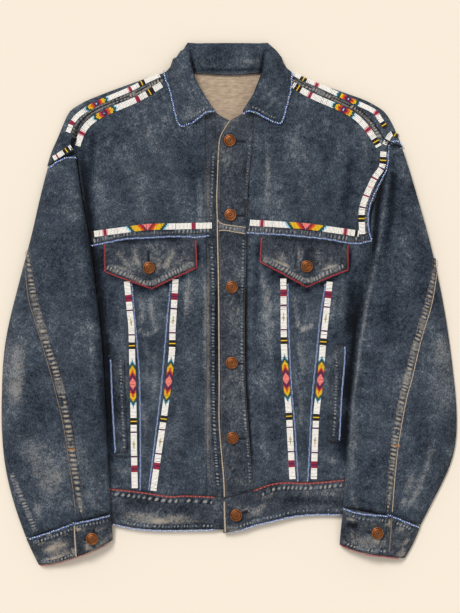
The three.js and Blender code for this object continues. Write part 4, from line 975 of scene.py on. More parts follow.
# %% [markdown]
# ## The seams, read off the photograph
# Each seam is a few picture places, a width in millimetres and, where the
# wear differs, how pale the band is between and on its puckers. The sleeve
# seams narrow towards their ends.

# %% Seams of the yokes, shoulders and sleeves
YOKE_LEFT = [(92, 241), (105, 237.5), (125, 233.5), (147, 231.5), (169, 230.7), (187, 230.7), (209, 229.6)]
YOKE_RIGHT = [(247, 229.3), (285, 231.5), (307, 233.5), (329, 235.8), (350, 238.6), (369, 238)]
seam("yoke_left", YOKE_LEFT, 10)
seam("yoke_right", YOKE_RIGHT, 9.5)
seam("armhole_right", [(366.5, 233), (366, 213), (368.5, 200), (376, 182), (382, 170), (385.5, 158)], 6)
rubbed = {"rub": (0.30, 0.85), "finish": worn_denim}
seam("shoulder_left", [(163, 79), (146, 88), (134, 94), (100, 107.5), (84, 118), (76, 128), (73, 138)], 7.5,
     **rubbed)
seam("shoulder_right", [(291, 78), (301, 84), (315, 90), (347, 104.5), (364, 114), (372, 124), (380, 138)], 7,
     **rubbed)
SLEEVE_LEFT = [(27, 250), (29, 264), (34, 294), (40.5, 319), (48.5, 346), (58, 375), (68, 420), (73.5, 457),
               (78.5, 490), (82, 514)]
SLEEVE_RIGHT = [(435.5, 258), (434, 272), (426.5, 305), (415.7, 341), (406, 378), (400.5, 402), (393.8, 441),
                (390, 481), (387.5, 511)]
tapering = {"ends": 60 * MM, "narrow": 0.3, "rub": (0.26, 0.72), "finish": worn_denim}
seam("sleeve_left", SLEEVE_LEFT, 11.5, pitch=6.4 * MM, **tapering)
seam("sleeve_right", SLEEVE_RIGHT, 10.5, pitch=5.6 * MM, **tapering)
seam("sleeve_edge_left", [(11, 474), (20, 494), (29, 515), (36, 531)], 9, rub=(0.25, 0.68))
print("seams so far", len(bands))

# %% Seams of the flaps, waistband, cuffs, placket, collar and welts
seam("flap_left", [(107, 267.5), (128, 275.5), (149.6, 283.3), (172, 273.5), (194, 263)], 8, rub=(0.32, 0.80))
seam("flap_right", [(264, 259), (285, 270), (307, 280.7), (326, 273), (344, 265.8)], 8, rub=(0.32, 0.80))
seam("band_left_top", [(112, 494), (137, 497), (155, 499.5), (171, 501.5), (184, 501), (212, 502.5)], 6.5,
     rub=(0.13, 1.23), pitch=9 * MM)
seam("band_left_foot", [(115, 521), (137, 525), (161, 526.8), (190, 526.5), (213, 526)], 5, rub=(0.13, 0.83))
seam("band_right_top", [(262, 495), (273.6, 489.5), (286.5, 488), (310.7, 488.5), (342, 485.5)], 6.5,
     rub=(0.15, 1.10), pitch=7 * MM)
seam("band_right_foot", [(236, 528), (254, 521.5), (275, 516.5), (294.5, 512), (318.7, 510.5), (340, 511)], 5)
seam("cuff_left_top", [(33, 543), (53, 536), (73, 528)], 6, rub=(0.17, 0.83))
seam("cuff_left_foot", [(41, 562), (56, 560.5), (74, 553.5)], 5, rub=(0.23, 0.83))
seam("cuff_left_end", [(78, 525), (94, 522.5), (108, 519.5)], 6, rub=(0.13, 0.68))
seam("cuff_right_top", [(346, 513), (360, 517.5), (376, 519), (388, 520)], 6, rub=(0.17, 0.83))
seam("cuff_right_foot", [(343, 541.8), (354, 546.4), (370, 549.6), (386, 551)], 5, rub=(0.21, 0.83))
seam("cuff_right_back", [(394, 522), (406, 526.5), (415, 532)], 6, rub=(0.21, 0.83))
seam("placket_under", [(213.5, 152), (212.5, 175), (211, 219)], 5, rub=(0.08, 0.68))
seam("placket_under_low", [(211.5, 244), (213, 290), (213, 340), (213.5, 400), (215, 440), (218, 486)], 6,
     rub=(0.06, 0.83))
seam("placket_yoke", [(219, 226), (231, 228.6), (245, 231)], 7, rub=(0.30, 0.60))
seam("placket_over", [(249.5, 145), (247.5, 170), (245.5, 200)], 4.5, rub=(0.06, 0.48))
seam("placket_over_low", [(243.5, 240), (242, 300), (242, 350), (243.5, 400), (247, 440), (250, 482)], 5,
     rub=(0.10, 0.55))
seam("collar_left", [(185, 120.5), (192, 117.5), (200, 112.5), (208, 107.8)], 4, rub=(0.17, 0.68))
seam("collar_right", [(252, 108), (260, 111), (268, 115.5), (277, 119)], 4, rub=(0.21, 0.68))
seam("welt_left", [(120.5, 360), (121.5, 390), (123, 420), (124.5, 450)], 5, rub=(0.13, 0.68))
seam("welt_right", [(336.5, 352), (336, 385), (335, 412), (333.5, 436)], 5, rub=(0.13, 0.68))
seam_count = len(bands)
print("seam bands", seam_count)

# %% [markdown]
# ## Sewing thread
# Jacket thread is mostly cotton spun round a polyester core, and the thick
# pale one is plain cotton. Both are matt, and their plies twist round each
# other, which the eye sees as fine light and dark specks.

# %% Thread materials


def thread(name, light, dark):
    """Twisted sewing thread, which shows fine slanting plies."""
    made, tree, shader = new_material(name, 0.75, Specular_IOR_Level=0.25)
    where = add(tree, "TexCoord").outputs["Object"]
    ply = add(tree, "TexNoise", {"Vector": where, "Scale": 1 / (1.6 * MM), "Detail": 2.0})
    ramp = add(tree, "ValToRGB", {"Fac": ply.outputs[0]})
    ramp.color_ramp.elements[0].position = 0.3
    ramp.color_ramp.elements[0].color = linear(dark)
    ramp.color_ramp.elements[1].position = 0.62
    ramp.color_ramp.elements[1].color = linear(light)
    tree.links.new(ramp.outputs[0], shader.inputs["Base Color"])
    bump = add(tree, "Bump", {"Height": ply.outputs[0], "Strength": 0.4, "Distance": 0.2 * MM})
    tree.links.new(bump.outputs[0], shader.inputs["Normal"])
    return made


cream_thread = thread("cream_cotton_thread", "#c2b09a", "#7c6c59")
tan_thread = thread("tan_core_spun_thread", "#847567", "#453c34")
navy_thread = thread("navy_core_spun_thread", "#262b36", "#12151c")
orange_thread = thread("orange_core_spun_thread", "#c07a3c", "#7d4a20")
print("threads", [t.name for t in (cream_thread, tan_thread, navy_thread, orange_thread)])

# %% [markdown]
# ## Thick sewn edges and bar tacks
# Free edges of the placket and cuffs carry a thick pale cord, and a thinner
# one runs beside the sleeve and shoulder seams. The ends of the hand pockets
# and one place low on each sleeve seam are held by bar tacks, which are a
# dozen tight stitches side by side. All are narrow bands whose puckers stand
# for the plies.

# %% Cords along the edges
CORD_STEP = 0.9 * MM
CORD_PLY = 1.6 * MM
TACK_PLY = 0.9 * MM


def cord(name, places, width, rise, finish, pitch=CORD_PLY):
    """A thick sewn line along picture places, with its width and rise in millimetres."""
    steps = walk([spot(u, v) for u, v in places], CORD_STEP)
    band("cord_" + name, steps, width * MM, finish=finish, rise=rise * MM, pitch=pitch,
         pucker=0.25, slant=1.0, columns=4)


PLACKET_EDGE = [(234, 116), (228, 123.5), (220.5, 137), (218.6, 150), (217.6, 172), (216.7, 199),
                (217.4, 219)]
PLACKET_LOW = [(217.4, 219), (217.6, 239), (218.6, 290), (219.2, 380), (219.2, 424), (223.6, 478),
               (224.4, 497)]
cord("placket_top", PLACKET_EDGE, 1.7, 0.7, cream_thread)
cord("placket_low", PLACKET_LOW, 1.7, 0.7, cream_thread)
cord("placket_yoke_top", [(217.4, 219), (219.6, 222.6), (225, 224.6), (234, 226), (245.4, 227.4)], 1.5, 0.9,
     cream_thread)
cord("placket_yoke_foot", [(219, 230.6), (226, 230.4), (236, 232.2), (245.4, 233.6)], 1.5, 0.9, cream_thread)
cord("band_end", [(224.4, 502), (224.6, 515), (225.4, 534)], 2.2, 0.8, cream_thread)
cord("cuff_left", [(75, 523), (75.4, 538), (76.4, 556)], 2.0, 0.7, cream_thread)
cord("shoulder_left", [(160.5, 81.2), (138, 91), (118.6, 99.5), (102.5, 108.4), (90, 114.6), (84.6, 122.7)],
     1.3, 0.5, tan_thread)
cord("shoulder_right", [(293, 79.6), (310, 87.5), (330, 97), (350, 107.5), (364, 117), (371, 126)],
     1.3, 0.5, tan_thread)
cord("cuff_right", [(391, 516.5), (390.8, 530), (389, 551)], 2.0, 0.7, tan_thread)
cord("sleeve_left_line",
     [(24.5, 262), (28.8, 297), (35.3, 319), (43.6, 346), (53.4, 380), (64, 424), (69, 457), (73.6, 490),
      (76, 514)], 1.2, 0.45, tan_thread)
cord("sleeve_right_line",
     [(437.8, 270), (431, 305), (420.6, 338), (411, 378), (405.6, 398), (398.6, 436), (394.8, 470),
      (392, 512)], 1.2, 0.45, cream_thread)
print("cords", len(bands) - seam_count)

# %% Bar tacks
TACKS = {  # picture places, width and rise in mm, and thread
    "sleeve_left": ([(68.6, 449.3), (76, 448.6)], 2.4, 1.2, orange_thread),
    "sleeve_right": ([(390, 444.6), (399, 445.4)], 2.4, 1.2, orange_thread),
    "welt_left_top": ([(108, 356.6), (117, 353.6)], 3.2, 1.1, navy_thread),
    "welt_left_foot": ([(114, 456), (127, 457.4)], 3.2, 1.1, navy_thread),
    "welt_right_top": ([(337, 343.6), (345, 344.4)], 3.2, 1.1, navy_thread),
    "welt_right_foot": ([(330.5, 443), (340.5, 442.4)], 3.2, 1.1, navy_thread),
}
for name, (places, width, rise, finish) in TACKS.items():
    cord("bartack_" + name, places, width, rise, finish, pitch=TACK_PLY)
print("cords and bar tacks", len(bands) - seam_count)

# %% [markdown]
# ## Buttonholes
# A buttonhole is a slit whipped round with dark thread. It is made as a short
# dark oval of stitches beside the button, with the slit in it as a thin
# near-black cord of painted shadow.

# %% Dark whipped buttonholes
# The slit is a near-black cord, a painted shadow.
slit_shadow, _, shader = new_material("buttonhole_shadow", 0.95, Specular_IOR_Level=0.05)
shader.inputs["Base Color"].default_value = linear("#0e1116")
HOLES = {
    "front_1": [(232, 141), (246, 141.4)],
    "front_2": [(232, 215.2), (246, 215.4)],
    "front_3": [(234, 287.2), (247, 287.8)],
    "front_4": [(233, 363.2), (246, 363.6)],
    "front_5": [(234, 438.2), (246.5, 438.4)],
    "front_6": [(238, 514.4), (248, 511)],
    "flap_left": [(148.6, 268), (148.2, 250)],
    "flap_right": [(306.8, 266), (306.4, 249)],
    "cuff_left": [(92, 537.5), (84, 539)],
    "cuff_right": [(377, 531.8), (366, 531)],
}
for name, places in HOLES.items():
    cord("hole_" + name, places, 4.4, 0.8, navy_thread, pitch=TACK_PLY)
    a, b = (Vector(p) for p in places)
    cord("slit_" + name, [tuple(a.lerp(b, 0.3)), tuple(a.lerp(b, 0.9))], 1.1, 1.05, slit_shadow)
print("buttonholes", len(HOLES))

# %% [markdown]
# ## Lines of top stitching
# Two rows of stitches hold a felled seam, and one or two more run along the
# placket, the neck and the flaps. One stitch is a low oval 2.6 mm long, and
# the rest are copies of it.

# %% One stitch, and how copies lie on the cloth
STITCH = 2.6 * MM
STITCH_GAP = 3.4 * MM
STITCH_WIDE = 0.75 * MM
STITCH_HIGH = 0.6 * MM
STITCH_SEAT = 0.1 * MM
STEEPEST = 1.2
HALF_STEP = 1.2 * MM
stitch_bm = bmesh.new()
bmesh.ops.create_uvsphere(stitch_bm, u_segments=6, v_segments=4, radius=0.5)
bmesh.ops.scale(stitch_bm, verts=stitch_bm.verts, vec=(STITCH, STITCH_WIDE, STITCH_HIGH))
stitch_mesh = as_mesh(stitch_bm, "stitch")
print("faces of one stitch", len(stitch_mesh.polygons))
ground = cloth_tree([*cloth_pieces.values(), *bands])


def lie(place, along, height, scale=(1, 1, 1)):
    """Where a copy lies: its long side along a direction on the cloth."""
    ahead = along * HALF_STEP
    slope = (seat(place + ahead) - seat(place - ahead)) / (2 * HALF_STEP)
    front = Vector((along.x, along.y, max(-STEEPEST, min(STEEPEST, slope)))).normalized()
    side = UP.cross(front).normalized()
    top = front.cross(side)
    turn = Matrix((front * scale[0], side * scale[1], top * scale[2])).transposed().to_4x4()
    return Matrix.Translation((place.x, place.y, height)) @ turn


def stitches(name, lines, finish):
    """Rows of stitches along picture places, as one piece."""
    spots = []
    for places in lines:
        for place, along, _ in walk([spot(u, v) for u, v in places], STITCH_GAP)[1:-1]:
            spots.append(lie(place, along, seat(place) + STITCH_SEAT))
    mesh = stamp(name, stitch_mesh, spots)
    mesh.materials.append(finish)
    made = link(name, mesh)
    return len(spots)


def beside(places, gap):
    """The same line moved sideways by gap picture places."""
    points = [Vector(p) for p in places]
    moved = []
    for k, p in enumerate(points):
        along = (points[min(k + 1, len(points) - 1)] - points[max(k - 1, 0)]).normalized()
        moved.append((p.x - along.y * gap, p.y + along.x * gap))
    return moved


# %% Stitches on the seams, the placket, the neck and the flaps
seam_rows = []
for line, gap in ((YOKE_LEFT, 2.4), (YOKE_RIGHT, 2.4), (SLEEVE_LEFT, 2.8), (SLEEVE_RIGHT, 2.8)):
    seam_rows += [beside(line, -gap), beside(line, gap)]
made_stitches = stitches("stitches_seams", seam_rows, tan_thread)
made_stitches += stitches("stitches_placket", [
    beside(PLACKET_EDGE, -2.2), beside(PLACKET_LOW, -2.2),
    [(210, 150), (208.5, 190), (208, 222)], [(207.6, 244), (208.6, 300), (209, 380), (212, 480)],
    [(250.6, 150), (248, 180), (246.5, 218)],
    [(246, 240), (244.6, 312), (245, 380), (248, 424), (252.6, 486)],
], tan_thread)
made_stitches += stitches("stitches_neck", [
    [(193, 71.5), (210, 72.8), (228, 73), (246, 72.4), (261, 70.6)],
], tan_thread)
made_stitches += stitches("stitches_flaps", [
    [(106.5, 248), (107, 267), (149.6, 281), (194, 262.4), (192.6, 242)],
    [(264.6, 240), (264, 257.6), (307, 278.4), (344, 265), (345, 247)],
    [(265, 130), (266, 170), (265.4, 214)],
], tan_thread)
print("stitches", made_stitches)

# %% [markdown]
# ## Glass seed beads
# The strips are sewn in lanes: a thread goes across the strip with seven
# beads on it, or six or five where the strip is narrow, and is tacked down,
# row after row. Seed beads are drawn glass tube, cut and tumbled round, so
# each is a short barrel 1.3 mm long and 1.9 mm thick. It is made a little
# larger here, so that the rows close up. Opaque glass has colour all through
# it and a bright highlight. One barrel is modelled with few faces and copied
# thousands of times, and a colour attribute holds each bead's glass.

# %% One bead
ROW = 1.9 * MM
BEAD_LONG = 1.55 * MM
BEAD_THICK = 1.9 * MM
BEAD_WIDE = 2.15 * MM
bead_bm = bmesh.new()
bmesh.ops.create_uvsphere(bead_bm, u_segments=6, v_segments=4, radius=0.5)
bmesh.ops.scale(bead_bm, verts=bead_bm.verts, vec=(BEAD_WIDE, BEAD_THICK, BEAD_LONG))
bmesh.ops.rotate(bead_bm, verts=bead_bm.verts, matrix=Matrix.Rotation(math.radians(90), 3, "X"))
bead_mesh = as_mesh(bead_bm, "bead")
print("faces of one bead", len(bead_mesh.polygons))

# %% Opaque glass in its colours
bead_glass, tree, shader = new_material("opaque_seed_bead_glass", 0.28, IOR=1.5)
tint = add(tree, "Attribute", attribute_name="glass")
tree.links.new(tint.outputs["Color"], shader.inputs["Base Color"])
where = add(tree, "TexCoord").outputs["Object"]
speck = add(tree, "TexNoise", {"Vector": where, "Scale": 1 / (0.9 * MM)})
bump = add(tree, "Bump", {"Height": speck.outputs[0], "Strength": 0.15, "Distance": 0.1 * MM})
tree.links.new(bump.outputs[0], shader.inputs["Normal"])

GLASS = {
    "chalk": "#fbf6ee", "burgundy": "#9f2140", "plum": "#5e1a4e", "black": "#17130f", "gold": "#efc020",
    "teal": "#1b5c6b", "green": "#1d4423", "orange": "#e2601b", "red": "#c02a1e", "salmon": "#f98c80",
    "sky": "#b4dcec", "tan": "#b8a06c", "blue": "#7f93dc", "pink": "#e9b7b4", "rust": "#b8453f",
}
LINEAR_GLASS = {key: linear(code) for key, code in GLASS.items()}
print("glass colours", len(GLASS))


def bead_piece(name, spots, glass, node=None):
    """Beads at their places, each with its glass, as one piece."""
    mesh = stamp(name, bead_mesh, spots)
    size = len(bead_mesh.vertices)
    colours = np.repeat(np.array([LINEAR_GLASS[g] for g in glass], np.float32), size, axis=0)
    layer = mesh.color_attributes.new("glass", "FLOAT_COLOR", "POINT")
    layer.data.foreach_set("color", colours.ravel())
    mesh.materials.append(bead_glass)
    made = link(name, mesh)
    if node:
        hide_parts(node)


# %% [markdown]
# ## The bead charts
# Each strip follows one simple chart of bars, most with a stepped diamond,
# triangle or round between them. A motif is a list of rings outwards from its
# middle, in millimetres, and the bars are a list of their distances along the
# strip. The stepped edges come by themselves, because a bead has only one
# colour.

# %% Charts for the strips
DIAMOND = [(8.4, "salmon"), (14.0, "plum"), (16.8, "red"), (19.2, "orange"), (25.6, "gold"),
           (28.2, "green"), (32.4, "teal"), (34.2, "sky")]
FAN = [(6.4, "salmon"), (8.6, "plum"), (11, "red"), (14, "orange"), (24.0, "gold"), (26.0, "green"),
       (28.6, "teal"), (31, "sky")]
ROUND = [(1.0, "sky"), (4.6, "plum"), (6.6, "red"), (8.8, "orange"), (13.0, "gold"), (14.8, "green"),
         (17.0, "teal"), (18.8, "sky")]
BEAD_SEAT = 0.62 * MM
DIAMOND_STEP = 1.7
ROUND_STEP = 0.5
FAN_LEAN = 0.72
POCKET_BARS = [(53.5, "triple"), (69, "line"), (86, "cross"), (102, "line"), (119.5, "wide")]

# Half the width in mm of each bar and its glass, then the same for its core.
BARS = {
    "triple": (4.9, "black", 0.95, "gold"),
    "wide": (4.6, "burgundy", 0.8, "plum"),
    "bar": (3.3, "pink", 2.3, "burgundy"),
    "line": (0.96, "plum", 0, None),
    "red_line": (0.96, "burgundy", 0, None),
    "pink_line": (0.96, "pink", 0, None),
    "black_line": (1.2, "black", 0, None),
}


def bars_colour(bars, s, v):
    """The bar's glass at a place in mm along and across the strip, or None."""
    for middle, kind in bars:
        d = abs(s - middle)
        if kind == "cross":
            if abs(v) < 0.7 and d < 6 or d < 1 and abs(v) < 1.5:
                return "tan"
        elif d < BARS[kind][0]:
            _, glass, core, core_glass = BARS[kind]
            return core_glass if d < core else glass
    return None


def ring_colour(rings, q):
    """The ring's glass at a distance from the motif's middle, or None."""
    for reach, glass in rings:
        if q < reach:
            return glass
    return None


# %% [markdown]
# ## Sewing the strips
# The rows follow a smooth line over the cloth and cross it at right angles.
# Hand-sewn rows never lie dead straight: now and then one slips a little
# forward, the strip wavers, and beads differ slightly in size. Small random
# shifts give all three.

# %% Sewing one strip
SLIP_CHANCE = 0.09
SLIP = 0.35 * MM
SLIP_KEPT = 0.93
WAVER = 0.16 * MM
WAVER_LENGTH = 23 * MM


def lane(node, points, width, motif, rings, bars, lean=0.0, step=0.0, mirrored=False, across=7):
    """One strip of beads in rows across a line. motif and bars are distances along it in mm."""
    seed = random.Random(node)
    spots, glass = [], []
    steps = walk([mm_place(x, y) for x, y in points], ROW)
    slip = 0.0
    for place, along, s in steps:
        if seed.random() < SLIP_CHANCE:
            slip += SLIP
        slip *= SLIP_KEPT
        aside = Vector((-along.y, along.x))
        tilt = WAVER * math.sin(s / WAVER_LENGTH) + seed.gauss(0, 0.05 * MM)
        for k in range(across):
            v = (k - (across - 1) / 2) * width / across
            at = place + aside * (v + tilt) + along * (slip + seed.gauss(0, 0.06 * MM))
            mm, vm = s / MM, v / MM
            found = None
            if motif is not None:
                found = ring_colour(rings, abs(mm - motif) + step * abs(vm) + lean * (width / 2 / MM - vm))
            if found is None:
                where = abs(mm - motif) if mirrored else mm
                found = bars_colour(bars, where, vm)
            glass.append(found or "chalk")
            size = 1 + seed.gauss(0, 0.035)
            spots.append(lie(at, along, seat(at) + BEAD_SEAT, (0.97, 1 + seed.gauss(0, 0.03), size)))
    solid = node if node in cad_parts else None
    bead_piece(node.replace("bead_strip", "beads"), spots, glass, solid)
    return len(spots)


# %% The four strips beside the pockets
STRIP = 8.6 * MM
NARROW = 7.0 * MM
POCKET_LANES = {
    "pocket_left_outer": ([(-143, 30), (-139, -12), (-136, -55), (-132, -258)], -112.5),
    "pocket_left_inner": ([(-75, 33), (-79, -33), (-82, -90), (-106, -261)], -108),
    "pocket_right_inner": ([(76, 34), (77, -52), (80, -107), (84, -158), (89, -245)], -105.5),
    "pocket_right_outer": ([(141, 30), (133, -44), (128, -107), (122, -158), (119, -245)], -105.5),
}
count = 0
for name, (points, centre_y) in POCKET_LANES.items():
    steps = walk([mm_place(x, y) for x, y in points], ROW)
    motif = min(steps, key=lambda q: abs(q[0].y / MM - centre_y))[2] / MM
    count += lane("bead_strip_" + name, points, STRIP, motif, DIAMOND, POCKET_BARS, step=DIAMOND_STEP,
                  mirrored=True)
print("beads beside the pockets", count)

# %% The strips on the yoke seams and up the armhole
count += lane("bead_strip_yoke_left",
              [(-192, 97), (-146, 103), (-115, 107), (-84, 108), (-25, 109)], STRIP, 78, FAN,
              [(1, "black_line"), (18, "bar"), (143, "bar")], lean=FAN_LEAN)
count += lane("bead_strip_yoke_right",
              [(30, 113), (78, 110), (109, 108), (140, 104), (181, 98)], STRIP, 78, FAN,
              [(16.5, "bar"), (134, "bar"), (149, "black_line")], lean=FAN_LEAN)
count += lane("bead_strip_armhole_right",
              [(187, 98), (186, 120), (187, 134), (193, 152), (204, 176), (214, 191), (216, 211.5)],
              STRIP, None, [],
              [(21.7, "triple"), (35.7, "line"), (54, "red_line"), (66, "pink_line"), (81, "red_line"),
               (98, "line"), (109, "triple")])
print("with the yokes and the armhole", count)

# %% The strips on the shoulders and over the sleeve heads
count += lane("bead_strip_shoulder_front_left",
              [(-95, 306), (-129, 286), (-175, 266), (-196, 252), (-206, 238), (-212, 222)],
              STRIP, 88, ROUND, [(18, "triple"), (38, "bar"), (131, "bar")], step=ROUND_STEP)
count += lane("bead_strip_shoulder_back_left",
              [(-98, 320), (-121, 309.5), (-139, 300), (-185, 280), (-209, 265), (-219, 254), (-225, 241)],
              NARROW, 96, ROUND, [(27, "triple"), (45, "bar"), (140, "bar")], step=ROUND_STEP, across=6)
count += lane("bead_strip_shoulder_front_right",
              [(90, 305.5), (115, 291), (161, 271), (179, 260), (190, 249), (200, 236), (209, 221)],
              STRIP, 78, ROUND, [(7, "triple"), (27, "bar"), (122, "bar"), (142, "triple")],
              step=ROUND_STEP)
count += lane("bead_strip_shoulder_back_right",
              [(91, 322), (106, 314), (125, 306), (168, 286), (202, 270), (211, 259), (219, 247)],
              NARROW, 83, ROUND, [(15, "triple"), (35, "bar"), (128, "bar"), (147, "triple")],
              step=ROUND_STEP, across=6)
count += lane("bead_strip_sleeve_head_left", [(-221, 219), (-235, 210), (-247, 203)],
              NARROW, None, [], [(8, "triple"), (22, "red_line"), (31, "black_line")], across=6)
count += lane("beads_sleeve_head_right", [(218.5, 223), (222.5, 231), (229, 238.5), (236.5, 235)],
              NARROW, None, [], [(23, "triple")], across=5)
print("beads in strips", count)

# %% [markdown]
# ## Beaded edges
# An edging stitch wraps the fold of the cloth with single beads, and every
# other bead stands out, which reads as a fine zigzag of blue and white or of
# red.

# %% Single rows of edging beads
EDGE_GAP = 1.45 * MM
EDGE_SEAT = 0.45 * MM
EDGE_REACH = 1.8 * MM
ZIGZAG = 0.5 * MM


def edging(name, lines, glass, size=1.0):
    """Beads in single file along picture places."""
    seed = random.Random(name)
    spots, kinds = [], []
    for places in lines:
        for k, (place, along, _) in enumerate(walk([spot(u, v) for u, v in places], EDGE_GAP)):
            aside = Vector((-along.y, along.x))
            at = place + aside * (ZIGZAG * (-1) ** k + seed.gauss(0, 0.12 * MM))
            level = highest(at, aside, EDGE_REACH) + EDGE_SEAT
            turned = (along + aside * 0.7 * (-1) ** k).normalized()
            spots.append(lie(at, turned, level, (size * 0.86, size, size)))
            kinds.append(glass[k % len(glass)])
    bead_piece("edge_" + name, spots, kinds)
    return len(spots)


# %% Blue edging of the yokes, sleeve heads, collar, pockets and bands
BLUE = ["blue", "chalk", "blue", "blue", "sky"]
edges = 0
edges += edging("yoke_left", [
    [(91, 245.6), (105, 243), (125, 239), (147, 237.8), (169, 236.6), (187, 236.6), (196, 237.3),
     (209, 235.5)]], BLUE)
edges += edging("yoke_right", [
    [(247, 232.8), (262, 233.6), (285, 235), (307, 237), (329, 239.4), (349, 243), (361, 243),
     (371, 240.6)],
    [(371.6, 240), (368.6, 227), (368.6, 213), (372, 200), (380, 183), (386, 171), (388, 163),
     (388.5, 152)]], BLUE)
edges += edging("sleeve_head_right", [[(389, 151), (390, 145), (394, 141), (400, 142), (404, 147)]], BLUE)
edges += edging("sleeve_head_left", [[(76, 158), (68, 157.5), (57, 162), (49, 168)]], BLUE)
edges += edging("collar", [
    [(163, 70), (165.6, 79), (170, 91), (175, 113), (179.6, 125.6), (187, 125), (195, 121.6), (206, 113),
     (214, 112)],
    [(243, 114), (250, 112), (257, 114), (269, 120), (280.6, 123.4), (286, 109), (291, 88),
     (292, 72)]], BLUE)
edges += edging("pockets", [
    [(131.6, 284), (134, 310), (137, 345), (139.4, 380), (140.4, 440), (140, 490)],
    [(170.6, 284), (168, 310), (165, 345), (161, 390), (155, 440), (148.6, 490)],
    [(288, 284), (288.4, 320), (289.6, 350), (292, 395), (295, 430), (298, 481)],
    [(325.4, 284), (320, 320), (316.6, 355), (312, 400), (310, 440), (308, 481)]], BLUE, size=0.9)
edges += edging("welts", [
    [(110.5, 360), (111.6, 385), (113, 415), (115.4, 452)],
    [(345, 347), (344.4, 365), (342, 392), (339.4, 440)]], BLUE)
edges += edging("band_foot", [
    [(113, 524.6), (125, 527.4), (137, 529.6), (161, 531.2), (190, 531), (214, 530.2)],
    [(231, 533.4), (242, 530.4), (254, 526), (275, 521), (294.5, 516.7), (318.7, 515),
     (341, 515.5)]], BLUE)
edges += edging("cuffs_top", [
    [(29, 539.4), (53, 531), (74, 523), (90, 519.4), (110, 515)],
    [(343, 508.4), (359, 512.5), (383, 515), (391, 515.7), (406, 522), (419.6, 528)]], BLUE)
print("blue edging beads", edges)

# %% Red edging of the flaps, the waistband's top and the cuffs' foot
RED = ["rust", "rust", "rust", "salmon"]
DEEP_RED = ["rust", "rust", "burgundy"]
edges += edging("flaps", [
    [(104.6, 245), (104.9, 258), (105, 269.4), (106.4, 272), (120, 277.4), (149.4, 287.8), (152.2, 288.3),
     (155, 287), (173, 278.4), (194.6, 268.4), (196.6, 266.4), (196.2, 255), (195.6, 241)],
    [(261.6, 238.6), (260.8, 250), (260.5, 260.4), (262.4, 263), (284, 274.4), (304.4, 285.8),
     (307, 286.7), (309.8, 285.6), (327, 278), (346, 270.6), (348, 268.6), (348, 257),
     (348, 245.4)]], DEEP_RED, size=1.05)
edges += edging("band_top", [
    [(110, 489.6), (137, 492.4), (155, 495), (171, 497.2), (184, 496.4), (214, 497.6)],
    [(254, 491), (264, 487), (273.6, 484.3), (286.5, 483), (310.7, 483.6), (344, 480.6)]], RED, size=0.95)
edges += edging("cuffs_foot", [
    [(40, 566), (53, 565), (76, 557.6), (97, 550), (110, 543)],
    [(341, 545.4), (352, 550.2), (367, 554), (385, 556.4), (398, 558.6)]], DEEP_RED, size=0.95)
print("edging beads", edges)

# %% [markdown]
# ## Copper buttons
# A jean button is a stamped copper-plated cap crimped over a tack. The cap
# has a rolled rim, two rings pressed into it and a small boss in the middle.
# Its half section is a chain of points, and spinning it round makes the cap.
# The plating has gone brown in the hollows.

# %% Copper plating with its patina
copper, tree, shader = new_material("copper_plated_brass", 0.36, Metallic=1.0)
where = add(tree, "TexCoord").outputs["Object"]
patina = add(tree, "TexNoise", {"Vector": where, "Scale": 1 / (4 * MM), "Detail": 4.0, "Roughness": 0.65})
hollow = add(tree, "Attribute", attribute_name="hollow").outputs["Fac"]
mixing = add(tree, "Math", {0: patina.outputs[0], 1: 0.7, 2: hollow}, operation="MULTIPLY_ADD")
ramp = add(tree, "ValToRGB", {"Fac": mixing.outputs[0]})
ramp.color_ramp.elements[0].position = 0.22
ramp.color_ramp.elements[0].color = linear("#a4663f")
ramp.color_ramp.elements[1].position = 0.85
ramp.color_ramp.elements[1].color = linear("#3c2213")
tree.links.new(ramp.outputs[0], shader.inputs["Base Color"])
rough = add(tree, "MapRange", {"Value": mixing.outputs[0], "To Min": 0.3, "To Max": 0.5})
tree.links.new(rough.outputs[0], shader.inputs["Roughness"])
print("plating", copper.name)

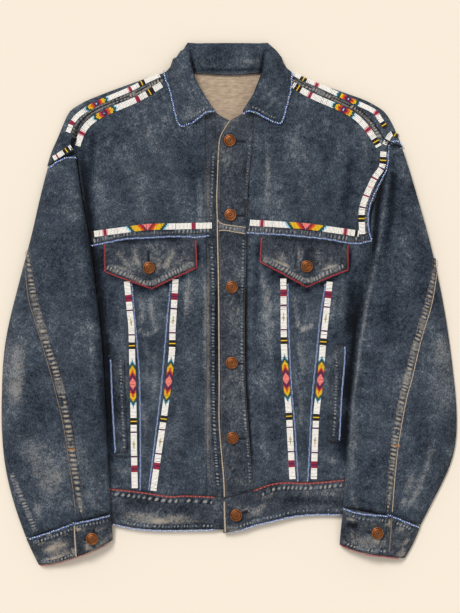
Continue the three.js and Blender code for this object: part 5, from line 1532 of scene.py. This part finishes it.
# %% The pressed cap
CAP = [  # share of the radius, height in mm, and how dark the plating is
    (0.0, 3.5, 0.1), (0.10, 3.4, 0.1), (0.15, 3.0, 0.6), (0.22, 2.9, 0.4), (0.30, 3.1, 0.1),
    (0.40, 3.15, 0.1), (0.45, 2.95, 0.55), (0.50, 3.1, 0.2), (0.66, 2.95, 0.1), (0.72, 2.6, 0.65),
    (0.80, 2.9, 0.25), (0.90, 3.0, 0.0), (0.97, 2.6, 0.1), (1.0, 1.9, 0.4), (0.95, 1.1, 0.7),
    (0.80, 0.8, 0.8), (0.45, 0.3, 0.8), (0.0, 0.1, 0.8),
]
CAP_RADIUS = 8.6 * MM
CAP_SIDES = 40
FRONT_LEANS = (2, -2, 1, -1, 2, 3)
FLAP_LEAN = 2
CUFF_LEAN = -3


def button(node, lean):
    """A pressed cap on its tack, spun round its own axis and tipped a little."""
    low_corner, high_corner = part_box(node)
    bm = bmesh.new()
    dark = bm.verts.layers.float.new("hollow")
    chain = []
    for share, rise, shade in CAP:
        vert = bm.verts.new((share * CAP_RADIUS, 0, rise * MM))
        vert[dark] = shade
        chain.append(vert)
    links = [bm.edges.new(pair) for pair in zip(chain, chain[1:])]
    bmesh.ops.spin(bm, geom=chain + links, cent=(0, 0, 0), axis=(0, 0, 1), angle=2 * math.pi,
                   steps=CAP_SIDES, use_merge=True)
    bmesh.ops.remove_doubles(bm, verts=bm.verts, dist=0.01 * MM)
    bmesh.ops.recalc_face_normals(bm, faces=bm.faces)
    bmesh.ops.rotate(bm, verts=bm.verts, matrix=Matrix.Rotation(math.radians(lean), 3, "X"))
    centre = (low_corner + high_corner) / 2
    bmesh.ops.translate(bm, verts=bm.verts, vec=(centre.x, centre.y, low_corner.z))
    made = link("cap_" + node, as_mesh(bm, node, copper))
    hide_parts(node)


# %% Ten buttons on their cloth
for k, lean in enumerate(FRONT_LEANS, 1):
    button(f"front_button_{k}", lean)
for side in ("left", "right"):
    button(f"flap_button_{side}", FLAP_LEAN)
    button(f"cuff_button_{side}", CUFF_LEAN)
print("buttons", len(FRONT_LEANS) + 4)
